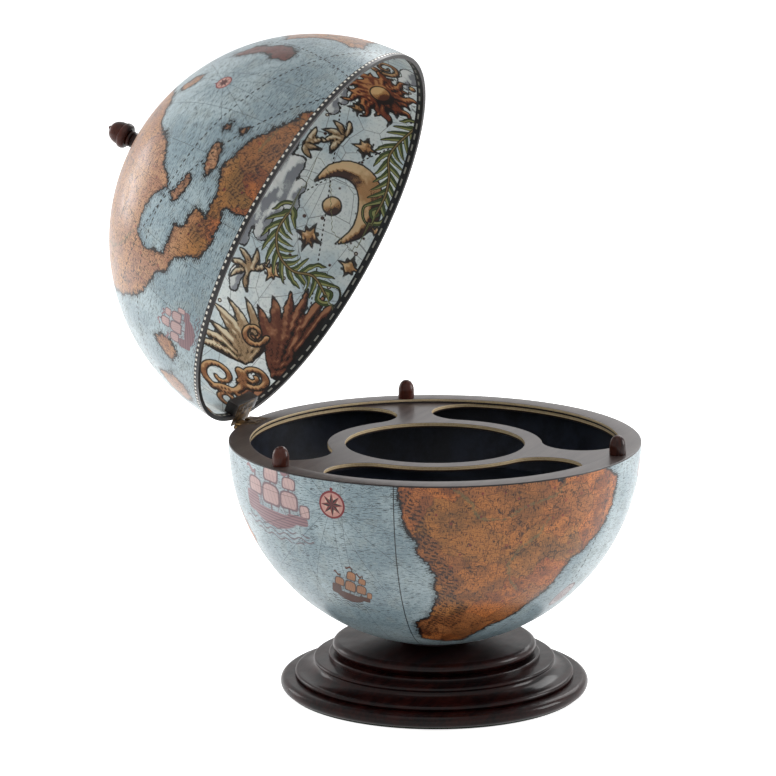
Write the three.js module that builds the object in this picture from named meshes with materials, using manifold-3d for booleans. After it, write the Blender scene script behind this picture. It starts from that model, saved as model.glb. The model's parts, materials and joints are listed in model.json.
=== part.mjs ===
import * as THREE from 'three';
import { mergeVertices } from 'three/addons/utils/BufferGeometryUtils.js';
import Module from 'manifold-3d';

const wasm = await Module();
wasm.setup();

// A globe that opens at its equator into a drinks bar, on a turned wooden base.
// Millimetres, Z up. The origin is the centre of the felt pad's underside, the
// hinge is at the back (+Y) and the lid is shown open against its stop.

// Globe
const globeRadius = 200;
const shellWall = 4;
const openAngle = THREE.MathUtils.degToRad(66.4);
const rimGap = 0.8;                    // lid edge above the rim ring when closed
const fitGap = 0.3;                    // between pieces that touch on a curved face
const turnSteps = 48;                  // facets round the globe and its base
const ringSteps = 10;                  // facets from the rim to the pole
const smallSteps = 16;                 // facets round small turned pieces and holes
const screwSteps = 12;
const hexSides = 6;

// Rim ring and tray
const ringThickness = 4;
const ringWidth = 21;
const trayThickness = 5;
const bottleHoleRadius = 87;
const centreRingWidth = 17;
const slotRecess = 1;                  // outer edge of a slot behind the rim ring's edge
const spokeWidth = 36;
const spokeCount = 3;
const trayTurn = THREE.MathUtils.degToRad(2);

// Boards inside the bowl, each held by glue blocks
const shelfDepth = 69;                 // below the top of the rim ring
const floorRise = 74;                  // above the globe's lowest point
const boardThickness = 6;
const boardGap = 0.45;
const cleatLength = 36;
const cleatWidth = 16;
const cleatHeight = 14;
const cleatCount = 3;

// Locating pegs
const pegDiameter = 16;
const pegHeight = 18.7;
const pegShoulder = 8;                 // straight part below the rounded nose
const pegClearance = 1.5;              // to the inside of the closed lid
const tenonDiameter = 8;

// Hinge
const hingeLength = 35;
const hingeOffset = 5.5;               // axis outside the globe's surface
const knuckleRadius = 2.5;
const middleKnuckle = 10.4;
const knuckleGap = 0.4;
const leafThickness = 1.5;
const leafReach = 16.5;                // over the ring, inward from its edge
const leafGap = 0.6;
const strapWidth = 3;
const pinRadius = 1.3;
const pinHeadRadius = 2;
const pinHeadLength = 1;
const heelHeight = 3;
const hingeBlockLength = 48;
const hingeBlockWidth = 14;
const hingeBlockHeight = 11;

// Hinge screws
const screwHeadRadius = 2.9;
const screwShankRadius = 1.3;
const screwLength = 7;
const screwSlotWidth = 0.8;
const screwSlotDepth = 0.6;
const screwCount = 3;                  // in each leaf
const screwSpacing = 11.5;
const screwInset = 9.5;                // from the globe's edge

// Finial
const finialTenonRadius = 5;
const finialFlangeRadius = 11;
const finialFlangeHeight = 4;
const finialFlangeRound = 1;           // below the flange's top edge
const finialNeckRadius = 6.5;
const finialNeckHeight = 12;
const finialBeadRadius = 8.5;
const finialBeadHeight = 4;
const finialBulbRadius = 13;
const finialBulbHeight = 11;
const finialRidgeRadius = 9.4;
const finialConeHeight = 10;
const finialConeEndRadius = 3.6;
const finialTipRadius = 2.4;
const finialTipHeight = 3;
const finialScrewRadius = 2;
const finialScrewReach = 16;           // into the finial above the lid's pole
const finialScrewHeadRadius = 4.5;
const finialScrewHeadHeight = 2.6;
const finialWasherRadius = 10;
const finialWasherThickness = 1.4;

// Base
const feltThickness = 2;
const plinthRadius = 150.5;
const plinthHeight = 12.6;
const plinthNose = 6;
const mouldingHeight = 18.2;
const mouldingBeadRadius = 2.8;
const mouldingBeadReach = 136.4;
const mouldingShelfReach = 118.2;
const mouldingNoseRadius = 2.2;
const stepReach = 103.3;
const stepHeight = 4.7;
const collarHeight = 12.5;             // above the step, up to the globe
const collarReach = 99.5;
const collarNose = 6.2;
const collarNeck = 1.6;

// Fastening of the globe to the base
const boltRadius = 4;
const boltHeadRadius = 7;
const boltHeadHeight = 5;
const boltHeadRecess = 1;              // head above the felt
const washerRadius = 12;
const washerThickness = 1.6;
const counterboreRadius = 14;
const nutRadius = 7.5;
const nutHeight = 6.5;
const boltEnd = 2;                     // thread that shows past the nut
const blockRadius = 40;
const blockHeight = 16;                // top of the block above the globe's lowest point

// Overrun of every cut past the face it opens
const overrun = 1;

// Heights and radii that follow
const plinthTop = feltThickness + plinthHeight;
const mouldingTop = plinthTop + mouldingHeight;
const stepTop = mouldingTop + stepHeight;
const seatHeight = stepTop + collarHeight; // lowest point of the globe above the floor
const rimHeight = seatHeight + globeRadius;
const shellInner = globeRadius - shellWall;
const ringInner = globeRadius - ringWidth;
const slotInner = bottleHoleRadius + centreRingWidth;
const slotOuter = ringInner + slotRecess;
const ringBottom = rimHeight - ringThickness;
const trayBottom = ringBottom - trayThickness;
const boltHoleRadius = boltRadius + fitGap;
const boltHeadBottom = feltThickness + boltHeadRecess;
const boltHeadTop = boltHeadBottom + boltHeadHeight;
const counterboreTop = boltHeadTop + washerThickness;
const hingeY = globeRadius + hingeOffset;
const hingeZ = rimHeight - leafThickness - knuckleRadius;
const leafInnerY = globeRadius - leafReach;
const leafOuterY = hingeY + strapWidth / 2;
const leafTopGap = leafThickness + fitGap;
const pegCircle = shellInner - pegClearance - pegDiameter / 2;
const finialHoleRadius = finialTenonRadius + fitGap;

// Materials, in the colours of the real finishes
const darkWood = { color: 0x2c1714, roughness: 0.3, metalness: 0 };
const turnedWood = { color: 0x3a2a24, roughness: 0.45, metalness: 0 };
const boardWood = { color: 0x9a8f8a, roughness: 0.5, metalness: 0 };
const linedBoard = { color: 0x1c2030, roughness: 0.8, metalness: 0 };
const rawWood = { color: 0xb08c64, roughness: 0.8, metalness: 0 };
const mapPaper = { color: 0x9fb4bd, roughness: 0.4, metalness: 0 };
const agedBrass = { color: 0x4a3a28, roughness: 0.45, metalness: 0.8 };
const steel = { color: 0x8c8c90, roughness: 0.4, metalness: 0.9 };
const felt = { color: 0x20281f, roughness: 0.95, metalness: 0 };

function point(radius, height) {
  return new THREE.Vector2(radius, height);
}

// Points of an elliptical arc in the plane of a turning profile
function arc(centreRadius, centreHeight, reach, rise, fromDegrees, toDegrees, steps) {
  const points = [];
  for (let i = 0; i <= steps; i++) {
    const angle = THREE.MathUtils.degToRad(fromDegrees + (toDegrees - fromDegrees) * i / steps);
    points.push(point(centreRadius + reach * Math.cos(angle), centreHeight + rise * Math.sin(angle)));
  }
  return points;
}

// Turned solid about Z from a profile that closes on itself or on the axis
function turned(profile, segments = turnSteps) {
  const geometry = new THREE.LatheGeometry(profile, segments);
  geometry.rotateX(Math.PI / 2);
  return geometry;
}

function closeLoop(profile) {
  return [...profile, profile[0].clone()];
}

function box(xSize, ySize, zSize, x, y, z) {
  const geometry = new THREE.BoxGeometry(xSize, ySize, zSize);
  geometry.translate(x, y, z);
  return geometry;
}

// Box between two corners
function boxBetween(low, high) {
  const size = high.map((value, i) => value - low[i]);
  const centre = high.map((value, i) => (value + low[i]) / 2);
  return box(...size, ...centre);
}

// Rod along Z between two heights
function rod(radius, low, high, x = 0, y = 0, segments = smallSteps) {
  const geometry = new THREE.CylinderGeometry(radius, radius, high - low, segments);
  geometry.rotateX(Math.PI / 2);
  geometry.translate(x, y, (low + high) / 2);
  return geometry;
}

// Rod along X, centred on the hinge axis
function hingeRod(radius, from, to, segments = smallSteps) {
  const geometry = new THREE.CylinderGeometry(radius, radius, to - from, segments);
  geometry.rotateZ(Math.PI / 2);
  geometry.translate((from + to) / 2, hingeY, hingeZ);
  return geometry;
}

function toSolid(geometry) {
  const bare = geometry.clone();
  bare.deleteAttribute('normal');
  bare.deleteAttribute('uv');
  const merged = mergeVertices(bare);
  return new wasm.Manifold(new wasm.Mesh({
    numProp: 3,
    vertProperties: new Float32Array(merged.attributes.position.array),
    triVerts: new Uint32Array(merged.index.array),
  }));
}

function toGeometry(solid) {
  const mesh = solid.getMesh();
  const geometry = new THREE.BufferGeometry();
  geometry.setAttribute('position', new THREE.BufferAttribute(mesh.vertProperties, 3));
  geometry.setIndex(new THREE.BufferAttribute(mesh.triVerts, 1));
  geometry.computeVertexNormals();
  return geometry;
}

// First geometry joined with the added ones, then cut by the others
function joined(base, added = [], cutters = []) {
  let solid = toSolid(base);
  for (const geometry of added) solid = solid.add(toSolid(geometry));
  for (const geometry of cutters) solid = solid.subtract(toSolid(geometry));
  return toGeometry(solid);
}

function common(base, other) {
  return toGeometry(toSolid(base).intersect(toSolid(other)));
}

// Profile points of a quarter globe, from a height above the middle plane to the
// radius of the hole at its pole; side is 1 for the lid and -1 for the bowl
function quarterGlobe(radius, startHeight, holeRadius, side) {
  const points = [point(Math.sqrt(radius ** 2 - startHeight ** 2), rimHeight + side * startHeight)];
  for (let i = 1; i < ringSteps; i++) {
    const angle = (Math.PI / 2) * i / ringSteps;
    points.push(point(radius * Math.cos(angle), rimHeight + side * radius * Math.sin(angle)));
  }
  const poleHeight = Math.sqrt(radius ** 2 - holeRadius ** 2);
  points.push(point(holeRadius, rimHeight + side * poleHeight));
  return points;
}

// Value of one coordinate of a profile where the other has a given value
function along(points, key, other, value) {
  const i = points.findIndex((p, n) => n > 0
    && (points[n - 1][key] - value) * (p[key] - value) <= 0);
  const [start, end] = [points[i - 1], points[i]];
  const share = (value - start[key]) / (end[key] - start[key]);
  return start[other] + (end[other] - start[other]) * share;
}

const bowlOuter = quarterGlobe(globeRadius, ringThickness, boltHoleRadius, -1);
const bowlInner = quarterGlobe(shellInner, ringThickness, boltHoleRadius, -1);
const lidOuter = quarterGlobe(globeRadius, rimGap, finialHoleRadius, 1);
const lidInner = quarterGlobe(shellInner, rimGap, finialHoleRadius, 1);

function bowlRadiusAt(height) {
  return along(bowlInner, 'y', 'x', height);
}

// Solid that fills a half globe's hollow, less the fitting gap
function hollowFill(side) {
  const points = quarterGlobe(shellInner - fitGap, 0, 0, side);
  const profile = side > 0 ? points : points.reverse();
  return turned([point(0, profile[0].y), ...profile, point(0, profile.at(-1).y)]);
}

const globeBar = new THREE.Group();
const lidTurn = new THREE.Group();     // turns about the hinge axis
const lid = new THREE.Group();         // holds the lid's pieces where they lie when closed
lidTurn.position.set(0, hingeY, hingeZ);
lidTurn.rotation.x = -openAngle;
lid.position.set(0, -hingeY, -hingeZ);
lidTurn.add(lid);
globeBar.add(lidTurn);

function place(parent, name, geometry, finish) {
  const mesh = new THREE.Mesh(geometry, new THREE.MeshStandardMaterial(finish));
  mesh.name = name;
  parent.add(mesh);
  return mesh;
}

// Turned base: felt, plinth, moulding and collar, bored for the bolt
function buildBase() {
  const flatRadius = plinthRadius - plinthNose;
  place(globeBar, 'felt_pad', rod(flatRadius, 0, feltThickness, 0, 0, turnSteps), felt);

  const plinthMiddle = feltThickness + plinthHeight / 2;
  place(globeBar, 'base_plinth', turned(closeLoop([
    point(boltHoleRadius, counterboreTop),
    point(counterboreRadius, counterboreTop),
    point(counterboreRadius, feltThickness),
    ...arc(flatRadius, plinthMiddle, plinthNose, plinthHeight / 2, -90, 90, 7),
    point(boltHoleRadius, plinthTop),
  ])), darkWood);

  const beadCentre = mouldingBeadReach - mouldingBeadRadius;
  const beadTop = plinthTop + 2 * mouldingBeadRadius;
  const noseCentre = mouldingShelfReach - mouldingNoseRadius;
  const noseBottom = mouldingTop - 2 * mouldingNoseRadius;
  const coveReach = beadCentre - noseCentre - mouldingBeadRadius;
  place(globeBar, 'base_moulding', turned(closeLoop([
    point(boltHoleRadius, plinthTop),
    ...arc(beadCentre, plinthTop + mouldingBeadRadius, mouldingBeadRadius, mouldingBeadRadius, -90, 90, 5),
    ...arc(noseCentre + coveReach, noseBottom, coveReach, noseBottom - beadTop, 270, 185, 5),
    ...arc(noseCentre, mouldingTop - mouldingNoseRadius, mouldingNoseRadius, mouldingNoseRadius, -70, 90, 4),
    point(boltHoleRadius, mouldingTop),
  ])), darkWood);

  // The collar has a low dished seat in its middle that the globe stands in
  const seat = bowlOuter.slice(-2).map((p) => point(p.x, p.y - fitGap));
  const [seatEdge, seatMiddle] = seat;
  const noseMiddle = (stepTop + collarNeck + seatHeight) / 2;
  const noseRise = seatHeight - noseMiddle;
  const noseX = collarReach - collarNose;
  place(globeBar, 'base_collar', turned(closeLoop([
    point(boltHoleRadius, mouldingTop),
    point(stepReach, mouldingTop),
    ...arc(stepReach - collarNeck, stepTop - collarNeck, collarNeck, collarNeck, 0, 90, 2),
    point(noseX + collarNeck, stepTop),
    ...arc(noseX, noseMiddle, collarNose, noseRise, -60, 90, 6),
    point(seatEdge.x, seatHeight),
    seatEdge,
    seatMiddle,
  ])), darkWood);
}

// Bolt through the base into a block in the bottom of the bowl
function buildFastening() {
  const blockTop = seatHeight + blockHeight;
  const washerTop = blockTop + washerThickness;
  const nutTop = washerTop + nutHeight;
  const head = rod(boltHeadRadius, boltHeadBottom, boltHeadTop, 0, 0, hexSides);
  const shank = rod(boltRadius, boltHeadBottom, nutTop + boltEnd);
  place(globeBar, 'base_bolt', joined(head, [shank]), steel);

  function ring(radius, low, high, segments = smallSteps) {
    const hole = rod(boltHoleRadius, low - overrun, high + overrun);
    return joined(rod(radius, low, high, 0, 0, segments), [], [hole]);
  }
  place(globeBar, 'base_washer', ring(washerRadius, boltHeadTop, counterboreTop), steel);
  place(globeBar, 'nut_washer', ring(washerRadius, blockTop, washerTop), steel);
  place(globeBar, 'base_nut', ring(nutRadius, washerTop, nutTop, hexSides), steel);

  const wall = [...bowlInner].reverse().filter((p) => p.x < blockRadius);
  const edgeHeight = along(bowlInner, 'x', 'y', blockRadius);
  place(globeBar, 'bowl_block', turned(closeLoop([
    ...wall.map((p) => point(p.x, p.y + fitGap)),
    point(blockRadius, edgeHeight + fitGap),
    point(blockRadius, blockTop),
    point(boltHoleRadius, blockTop),
  ])), rawWood);
}

function buildBowl() {
  place(globeBar, 'bowl_shell', turned(closeLoop([
    ...[...bowlOuter].reverse(),
    ...bowlInner,
  ])), mapPaper);
}

// Edge of a board that lies in the bowl, from its underside to its top
function boardEdge(top) {
  const bottom = top - boardThickness;
  return [
    point(bowlRadiusAt(bottom) - boardGap, bottom),
    point(bowlRadiusAt(top) - boardGap, top),
  ];
}

// Blocks glued to the wall under a board, shaped to the bowl
function buildCleats(name, boardTop) {
  const top = boardTop - boardThickness;
  const outer = bowlRadiusAt(top);
  const inner = bowlRadiusAt(top - cleatHeight) - cleatWidth;
  const fill = hollowFill(-1);
  for (let i = 0; i < cleatCount; i++) {
    const block = boxBetween([inner, -cleatLength / 2, top - cleatHeight], [outer, cleatLength / 2, top]);
    block.rotateZ(trayTurn - Math.PI / 2 + 2 * Math.PI * i / cleatCount);
    place(globeBar, `${name}_${i + 1}`, common(block, fill), rawWood);
  }
}

function buildBoards() {
  const floorTop = seatHeight + floorRise;
  place(globeBar, 'floor_board', turned([
    point(0, floorTop - boardThickness),
    ...boardEdge(floorTop),
    point(0, floorTop),
  ]), linedBoard);
  buildCleats('floor_cleat', floorTop);

  const shelfTop = rimHeight - shelfDepth;
  place(globeBar, 'glass_shelf', turned(closeLoop([
    point(bottleHoleRadius, shelfTop - boardThickness),
    ...boardEdge(shelfTop),
    point(bottleHoleRadius, shelfTop),
  ])), linedBoard);
  buildCleats('shelf_cleat', shelfTop);
}

// Points of a circular arc in plan
function planArc(centreX, centreY, radius, from, to, steps) {
  const points = [];
  for (let i = 0; i <= steps; i++) {
    const angle = from + (to - from) * i / steps;
    points.push(new THREE.Vector2(centreX + radius * Math.cos(angle), centreY + radius * Math.sin(angle)));
  }
  return points;
}

// Outline of one slot between two spokes, with fully rounded ends
function slotOutline(spokeAngle) {
  const endRadius = (slotOuter - slotInner) / 2;
  const middle = (slotInner + slotOuter) / 2;
  const inset = Math.asin((spokeWidth / 2 + endRadius) / middle);
  const from = spokeAngle + inset;
  const to = spokeAngle + 2 * Math.PI / spokeCount - inset;
  const centre = (angle) => [middle * Math.cos(angle), middle * Math.sin(angle)];
  return [
    ...planArc(0, 0, slotOuter, from, to, 12),
    ...planArc(...centre(to), endRadius, to, to + Math.PI, 9).slice(1, -1),
    ...planArc(0, 0, slotInner, to, from, 8),
    ...planArc(...centre(from), endRadius, from + Math.PI, from + 2 * Math.PI, 9).slice(1, -1),
  ];
}

function spokeAngle(i) {
  return trayTurn - Math.PI / 2 + 2 * Math.PI * i / spokeCount;
}

function pegPlace(i) {
  return [pegCircle * Math.cos(spokeAngle(i)), pegCircle * Math.sin(spokeAngle(i))];
}

const hingeScrews = Array.from({ length: screwCount }, (_, i) => i);

function hingeScrewPlace(i) {
  return [(i - (screwCount - 1) / 2) * screwSpacing, globeRadius - screwInset];
}

// Holes through the ring and the tray for the peg tenons and the hinge screws
function rimHoles() {
  const holes = [];
  for (let i = 0; i < spokeCount; i++) {
    holes.push(rod(tenonDiameter / 2 + fitGap, trayBottom - overrun, rimHeight + overrun, ...pegPlace(i)));
  }
  for (let i = 0; i < screwCount; i++) {
    const low = rimHeight - screwLength - overrun;
    holes.push(rod(screwShankRadius + fitGap, low, rimHeight + overrun, ...hingeScrewPlace(i), screwSteps));
  }
  return holes;
}

function buildTray() {
  const radius = bowlRadiusAt(trayBottom) - fitGap;
  const outline = planArc(0, 0, radius, 0, 2 * Math.PI, turnSteps).slice(0, -1);
  const shape = new THREE.Shape(outline);
  const hole = planArc(0, 0, bottleHoleRadius, 0, 2 * Math.PI, turnSteps).slice(0, -1);
  shape.holes.push(new THREE.Path(hole));
  for (let i = 0; i < spokeCount; i++) shape.holes.push(new THREE.Path(slotOutline(spokeAngle(i))));
  const plate = new THREE.ExtrudeGeometry(shape, { depth: trayThickness, bevelEnabled: false, steps: 1 });
  plate.translate(0, 0, trayBottom);
  place(globeBar, 'tray_plate', joined(plate, [], rimHoles()), boardWood);
}

function buildRim() {
  const outerBottom = Math.sqrt(globeRadius ** 2 - ringThickness ** 2);
  const ring = turned(closeLoop([
    point(ringInner, ringBottom),
    point(outerBottom, ringBottom),
    point(globeRadius, rimHeight),
    point(ringInner, rimHeight),
  ]));
  const mortise = boxBetween(
    [-hingeLength / 2 - fitGap, leafInnerY - fitGap, rimHeight - leafTopGap],
    [hingeLength / 2 + fitGap, hingeY, rimHeight + overrun],
  );
  place(globeBar, 'rim_ring', joined(ring, [], [mortise, ...rimHoles()]), boardWood);

  const nose = arc(0, rimHeight + pegShoulder, pegDiameter / 2, pegHeight - pegShoulder, 0, 90, 5);
  nose.at(-1).x = 0;
  for (let i = 0; i < spokeCount; i++) {
    const peg = turned([
      point(0, trayBottom),
      point(tenonDiameter / 2, trayBottom),
      point(tenonDiameter / 2, rimHeight),
      point(pegDiameter / 2, rimHeight),
      ...nose,
    ], smallSteps);
    const mesh = place(globeBar, `peg_${i + 1}`, peg, turnedWood);
    mesh.position.set(...pegPlace(i), 0);
  }
}

// Countersunk screw with its head flush at height zero, pointing down
function hingeScrew() {
  const headDepth = leafThickness;
  const screw = turned([
    point(0, -screwLength),
    point(screwShankRadius, -screwLength + screwShankRadius),
    point(screwShankRadius, -headDepth),
    point(screwHeadRadius, 0),
    point(0, 0),
  ], screwSteps);
  const slot = boxBetween(
    [-screwHeadRadius - overrun, -screwSlotWidth / 2, -screwSlotDepth],
    [screwHeadRadius + overrun, screwSlotWidth / 2, overrun],
  );
  return joined(screw, [], [slot]);
}

// Cone cut that a screw head sinks into, below a leaf's face or above it
function countersink(x, y, z, side) {
  const shankHole = screwShankRadius + 2 * fitGap;
  const headHole = screwHeadRadius + 2 * fitGap;
  const cut = turned([
    point(0, -leafThickness - overrun),
    point(shankHole, -leafThickness - overrun),
    point(shankHole, -leafThickness),
    point(headHole, 0),
    point(headHole, overrun),
    point(0, overrun),
  ], screwSteps);
  if (side < 0) cut.rotateX(Math.PI);
  cut.translate(x, y, z);
  return cut;
}

function buildLowerHinge() {
  const half = hingeLength / 2;
  const inner = middleKnuckle / 2 + knuckleGap;
  const plate = boxBetween([-half, leafInnerY, rimHeight - leafThickness], [half, leafOuterY, rimHeight]);
  const added = [];
  for (const side of [-1, 1]) {
    const [from, to] = side < 0 ? [-half, -inner] : [inner, half];
    added.push(hingeRod(knuckleRadius, from, to));
    const strapTop = rimHeight - leafThickness / 2;
    added.push(boxBetween([from, hingeY - strapWidth / 2, hingeZ], [to, leafOuterY, strapTop]));
  }
  const notchY = globeRadius + fitGap;
  const notch = boxBetween([-inner, notchY, hingeZ - knuckleRadius], [inner, leafOuterY + overrun, rimHeight + overrun]);
  const bore = hingeRod(pinRadius + fitGap, -half - overrun, half + overrun);
  const sinks = hingeScrews.map((i) => countersink(...hingeScrewPlace(i), rimHeight, 1));
  place(globeBar, 'hinge_lower_leaf', joined(plate, added, [notch, bore, ...sinks]), agedBrass);

  const pinHalf = half + fitGap;
  place(globeBar, 'hinge_pin', joined(hingeRod(pinRadius, -pinHalf, pinHalf), [
    hingeRod(pinHeadRadius, -pinHalf - pinHeadLength, -pinHalf),
    hingeRod(pinHeadRadius, pinHalf, pinHalf + pinHeadLength),
  ]), agedBrass);

  for (const i of hingeScrews) {
    const mesh = place(globeBar, `lower_leaf_screw_${i + 1}`, hingeScrew(), agedBrass);
    mesh.position.set(...hingeScrewPlace(i), rimHeight);
  }
}

// Pocket in the lid's edge and its block for the upper leaf
function lidPocket() {
  return boxBetween(
    [-hingeLength / 2 - fitGap, leafInnerY - fitGap, rimHeight - overrun],
    [hingeLength / 2 + fitGap, hingeY, rimHeight + leafGap + leafTopGap],
  );
}

function buildUpperHinge() {
  const half = hingeLength / 2;
  const inner = middleKnuckle / 2;
  const low = rimHeight + leafGap;
  const plate = boxBetween([-half, leafInnerY, low], [half, leafOuterY, low + leafThickness]);
  const knuckle = hingeRod(knuckleRadius, -inner, inner);
  const strap = boxBetween(
    [-inner, hingeY - strapWidth / 2, hingeZ],
    [inner, leafOuterY, low + leafThickness / 2],
  );
  // The heel meets the edge of the rim ring and stops the open lid
  const heel = boxBetween(
    [-inner, globeRadius + fitGap - hingeY, -knuckleRadius],
    [inner, -pinRadius - fitGap, heelHeight - knuckleRadius],
  );
  heel.rotateX(openAngle);
  heel.translate(0, hingeY, hingeZ);
  const bore = hingeRod(pinRadius + fitGap, -inner - overrun, inner + overrun);
  const sinks = hingeScrews.map((i) => countersink(...hingeScrewPlace(i), low, -1));
  place(lid, 'hinge_upper_leaf', joined(plate, [knuckle, strap, heel], [bore, ...sinks]), agedBrass);

  for (const i of hingeScrews) {
    const mesh = place(lid, `upper_leaf_screw_${i + 1}`, hingeScrew(), agedBrass);
    mesh.rotation.x = Math.PI;
    mesh.position.set(...hingeScrewPlace(i), low);
  }

  const blockLow = rimHeight + rimGap;
  const block = boxBetween(
    [-hingeBlockLength / 2, shellInner - hingeBlockWidth, blockLow],
    [hingeBlockLength / 2, shellInner, blockLow + hingeBlockHeight],
  );
  const pilots = hingeScrews.map((i) => rod(
    screwShankRadius + fitGap, blockLow - overrun, low + screwLength + fitGap, ...hingeScrewPlace(i), screwSteps,
  ));
  const shaped = common(block, hollowFill(1));
  place(lid, 'hinge_block', joined(shaped, [], [lidPocket(), ...pilots]), turnedWood);
}

function buildLid() {
  const shell = turned(closeLoop([...lidOuter, ...[...lidInner].reverse()]));
  place(lid, 'lid_shell', joined(shell, [], [lidPocket()]), mapPaper);
}

// Finial, with a tenon through the lid's pole and a screw from inside
function buildFinial() {
  const tenonEnd = lidInner.at(-1).y;
  const flangeY = (radius) => along(lidOuter, 'x', 'y', radius) + fitGap;
  const flangeLow = flangeY(finialFlangeRadius);
  const poleTop = lidOuter.at(-1).y + fitGap;
  const screwEnd = rimHeight + globeRadius + finialScrewReach;
  const flangeTop = poleTop + finialFlangeHeight;
  const neckTop = flangeTop + finialNeckHeight;
  const beadTop = neckTop + finialBeadHeight;
  const bulbTop = beadTop + finialBulbHeight;
  const coneTop = bulbTop + finialConeHeight;
  const pilot = finialScrewRadius + fitGap;
  const neckReach = finialFlangeRadius - finialNeckRadius;
  const neckMiddle = (flangeTop + neckTop) / 2;
  const bulbMiddle = beadTop + finialBulbHeight / 2;
  const bulbReach = finialBulbRadius - finialRidgeRadius;
  const tip = arc(0, coneTop, finialTipRadius, finialTipHeight, 0, 90, 3);
  tip.at(-1).x = 0;
  place(lid, 'finial', turned([
    point(0, screwEnd + fitGap),
    point(pilot, screwEnd + fitGap),
    point(pilot, tenonEnd),
    point(finialTenonRadius, tenonEnd),
    point(finialTenonRadius, poleTop),
    point(finialFlangeRadius, flangeLow),
    point(finialFlangeRadius, flangeTop - finialFlangeRound),
    ...arc(finialFlangeRadius, neckMiddle, neckReach, finialNeckHeight / 2, -110, -250, 4),
    ...arc(finialNeckRadius, (neckTop + beadTop) / 2, finialBeadRadius - finialNeckRadius, finialBeadHeight / 2, -80, 80, 3),
    ...arc(finialRidgeRadius, bulbMiddle, bulbReach, finialBulbHeight / 2, -90, 90, 5),
    point(finialConeEndRadius, coneTop - fitGap),
    ...tip,
  ], smallSteps), turnedWood);

  const washerTop = along(lidInner, 'x', 'y', finialWasherRadius) - fitGap;
  const washerLow = washerTop - finialWasherThickness;
  place(lid, 'finial_washer', joined(rod(finialWasherRadius, washerLow, washerTop), [], [
    rod(pilot, washerLow - overrun, washerTop + overrun),
  ]), agedBrass);
  const head = arc(0, washerLow, finialScrewHeadRadius, finialScrewHeadHeight, -90, 0, 3);
  head[0].x = 0;
  place(lid, 'finial_screw', turned([
    ...head,
    point(finialScrewRadius, washerLow),
    point(finialScrewRadius, screwEnd),
    point(0, screwEnd),
  ], smallSteps), agedBrass);
}

buildBase();
buildFastening();
buildBowl();
buildBoards();
buildTray();
buildRim();
buildLowerHinge();
buildLid();
buildUpperHinge();
buildFinial();

export default globeBar;
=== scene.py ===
import json
from functools import reduce
from math import acos, asin, cos, degrees, hypot, pi, radians, sin, sqrt, tau

import bmesh
import bpy
import numpy as np
from mathutils import Matrix, Vector


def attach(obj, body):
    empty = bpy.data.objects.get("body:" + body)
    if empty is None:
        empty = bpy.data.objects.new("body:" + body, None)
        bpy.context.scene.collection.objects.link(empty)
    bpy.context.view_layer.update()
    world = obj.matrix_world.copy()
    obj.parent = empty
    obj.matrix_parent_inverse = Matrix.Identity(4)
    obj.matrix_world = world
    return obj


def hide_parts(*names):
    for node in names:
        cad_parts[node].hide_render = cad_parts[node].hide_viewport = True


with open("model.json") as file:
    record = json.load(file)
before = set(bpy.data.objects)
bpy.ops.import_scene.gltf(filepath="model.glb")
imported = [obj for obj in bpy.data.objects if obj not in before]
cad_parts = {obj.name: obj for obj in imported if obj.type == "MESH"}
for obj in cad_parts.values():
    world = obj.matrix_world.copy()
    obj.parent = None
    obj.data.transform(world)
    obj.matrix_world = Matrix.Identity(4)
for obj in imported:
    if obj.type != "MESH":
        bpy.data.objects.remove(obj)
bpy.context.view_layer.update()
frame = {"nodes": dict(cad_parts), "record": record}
nodes = frame["nodes"]
print("frame loaded:", len(nodes), "nodes")

mm = 0.001
globe = {"radius": 199.9, "wall": 4.0, "middle": 250.0, "boltHole": 4.3, "finialHole": 5.3,
         "lidGap": 0.8, "ringDepth": 4.0}
# steps around each turned piece
around = {"bowl": 540, "lid": 440, "base": 256, "boards": 256, "ring": 384, "peg": 64, "finial": 96}
degree = globe["radius"] * pi / 180  # in mm on the globe's surface
hinge = {"y": 205.5, "z": 246.0, "open": 66.4}
turnAxis = Matrix.Translation((0, hinge["y"] * mm, hinge["z"] * mm))
openLid = turnAxis @ Matrix.Rotation(radians(-hinge["open"]), 4, "X") @ turnAxis.inverted()


# Shader helpers

def operator(operation, swapped=False):
    # a method that works the two values out with a Math node
    def method(shade, other):
        return calc(operation, other, shade) if swapped else calc(operation, shade, other)

    return method


class Shade:
    # a value from a material's nodes that plain arithmetic works on
    def __init__(self, socket):
        self.socket = socket

    def __abs__(self):
        return calc("ABSOLUTE", self)

    __add__ = operator("ADD")
    __sub__ = operator("SUBTRACT")
    __rsub__ = operator("SUBTRACT", True)
    __mul__ = operator("MULTIPLY")
    __truediv__ = operator("DIVIDE")
    __rtruediv__ = operator("DIVIDE", True)
    __pow__ = operator("POWER")
    __gt__ = operator("GREATER_THAN")
    __lt__ = operator("LESS_THAN")


def feed(socket, value):
    if isinstance(value, Shade):
        socket.id_data.links.new(value.socket, socket)
    else:
        socket.default_value = value


def addNode(tree, kind, inputs=None, **settings):
    node = tree.nodes.new(kind)
    for key, value in settings.items():
        setattr(node, key, value)
    for key, value in (inputs or {}).items():
        feed(node.inputs[key], value)
    return node


def read(tree, kind, inputs=None, output=0, **settings):
    return Shade(addNode(tree, kind, inputs, **settings).outputs[output])


def stored(tree, name, output="Fac"):
    return read(tree, "ShaderNodeAttribute", output=output, attribute_name=name)


def treeOf(*values):
    return next(value.socket.id_data for value in values if isinstance(value, Shade))


def calc(operation, *values):
    return read(treeOf(*values), "ShaderNodeMath", dict(enumerate(values)), operation=operation)


def larger(*values):
    return reduce(lambda first, second: calc("MAXIMUM", first, second), values)


def smaller(*values):
    return reduce(lambda first, second: calc("MINIMUM", first, second), values)


def root(value):
    return calc("SQRT", value)


def sine(angle):
    return calc("SINE", angle)


def angleOf(north, east):
    return calc("ARCTAN2", north, east)


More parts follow.
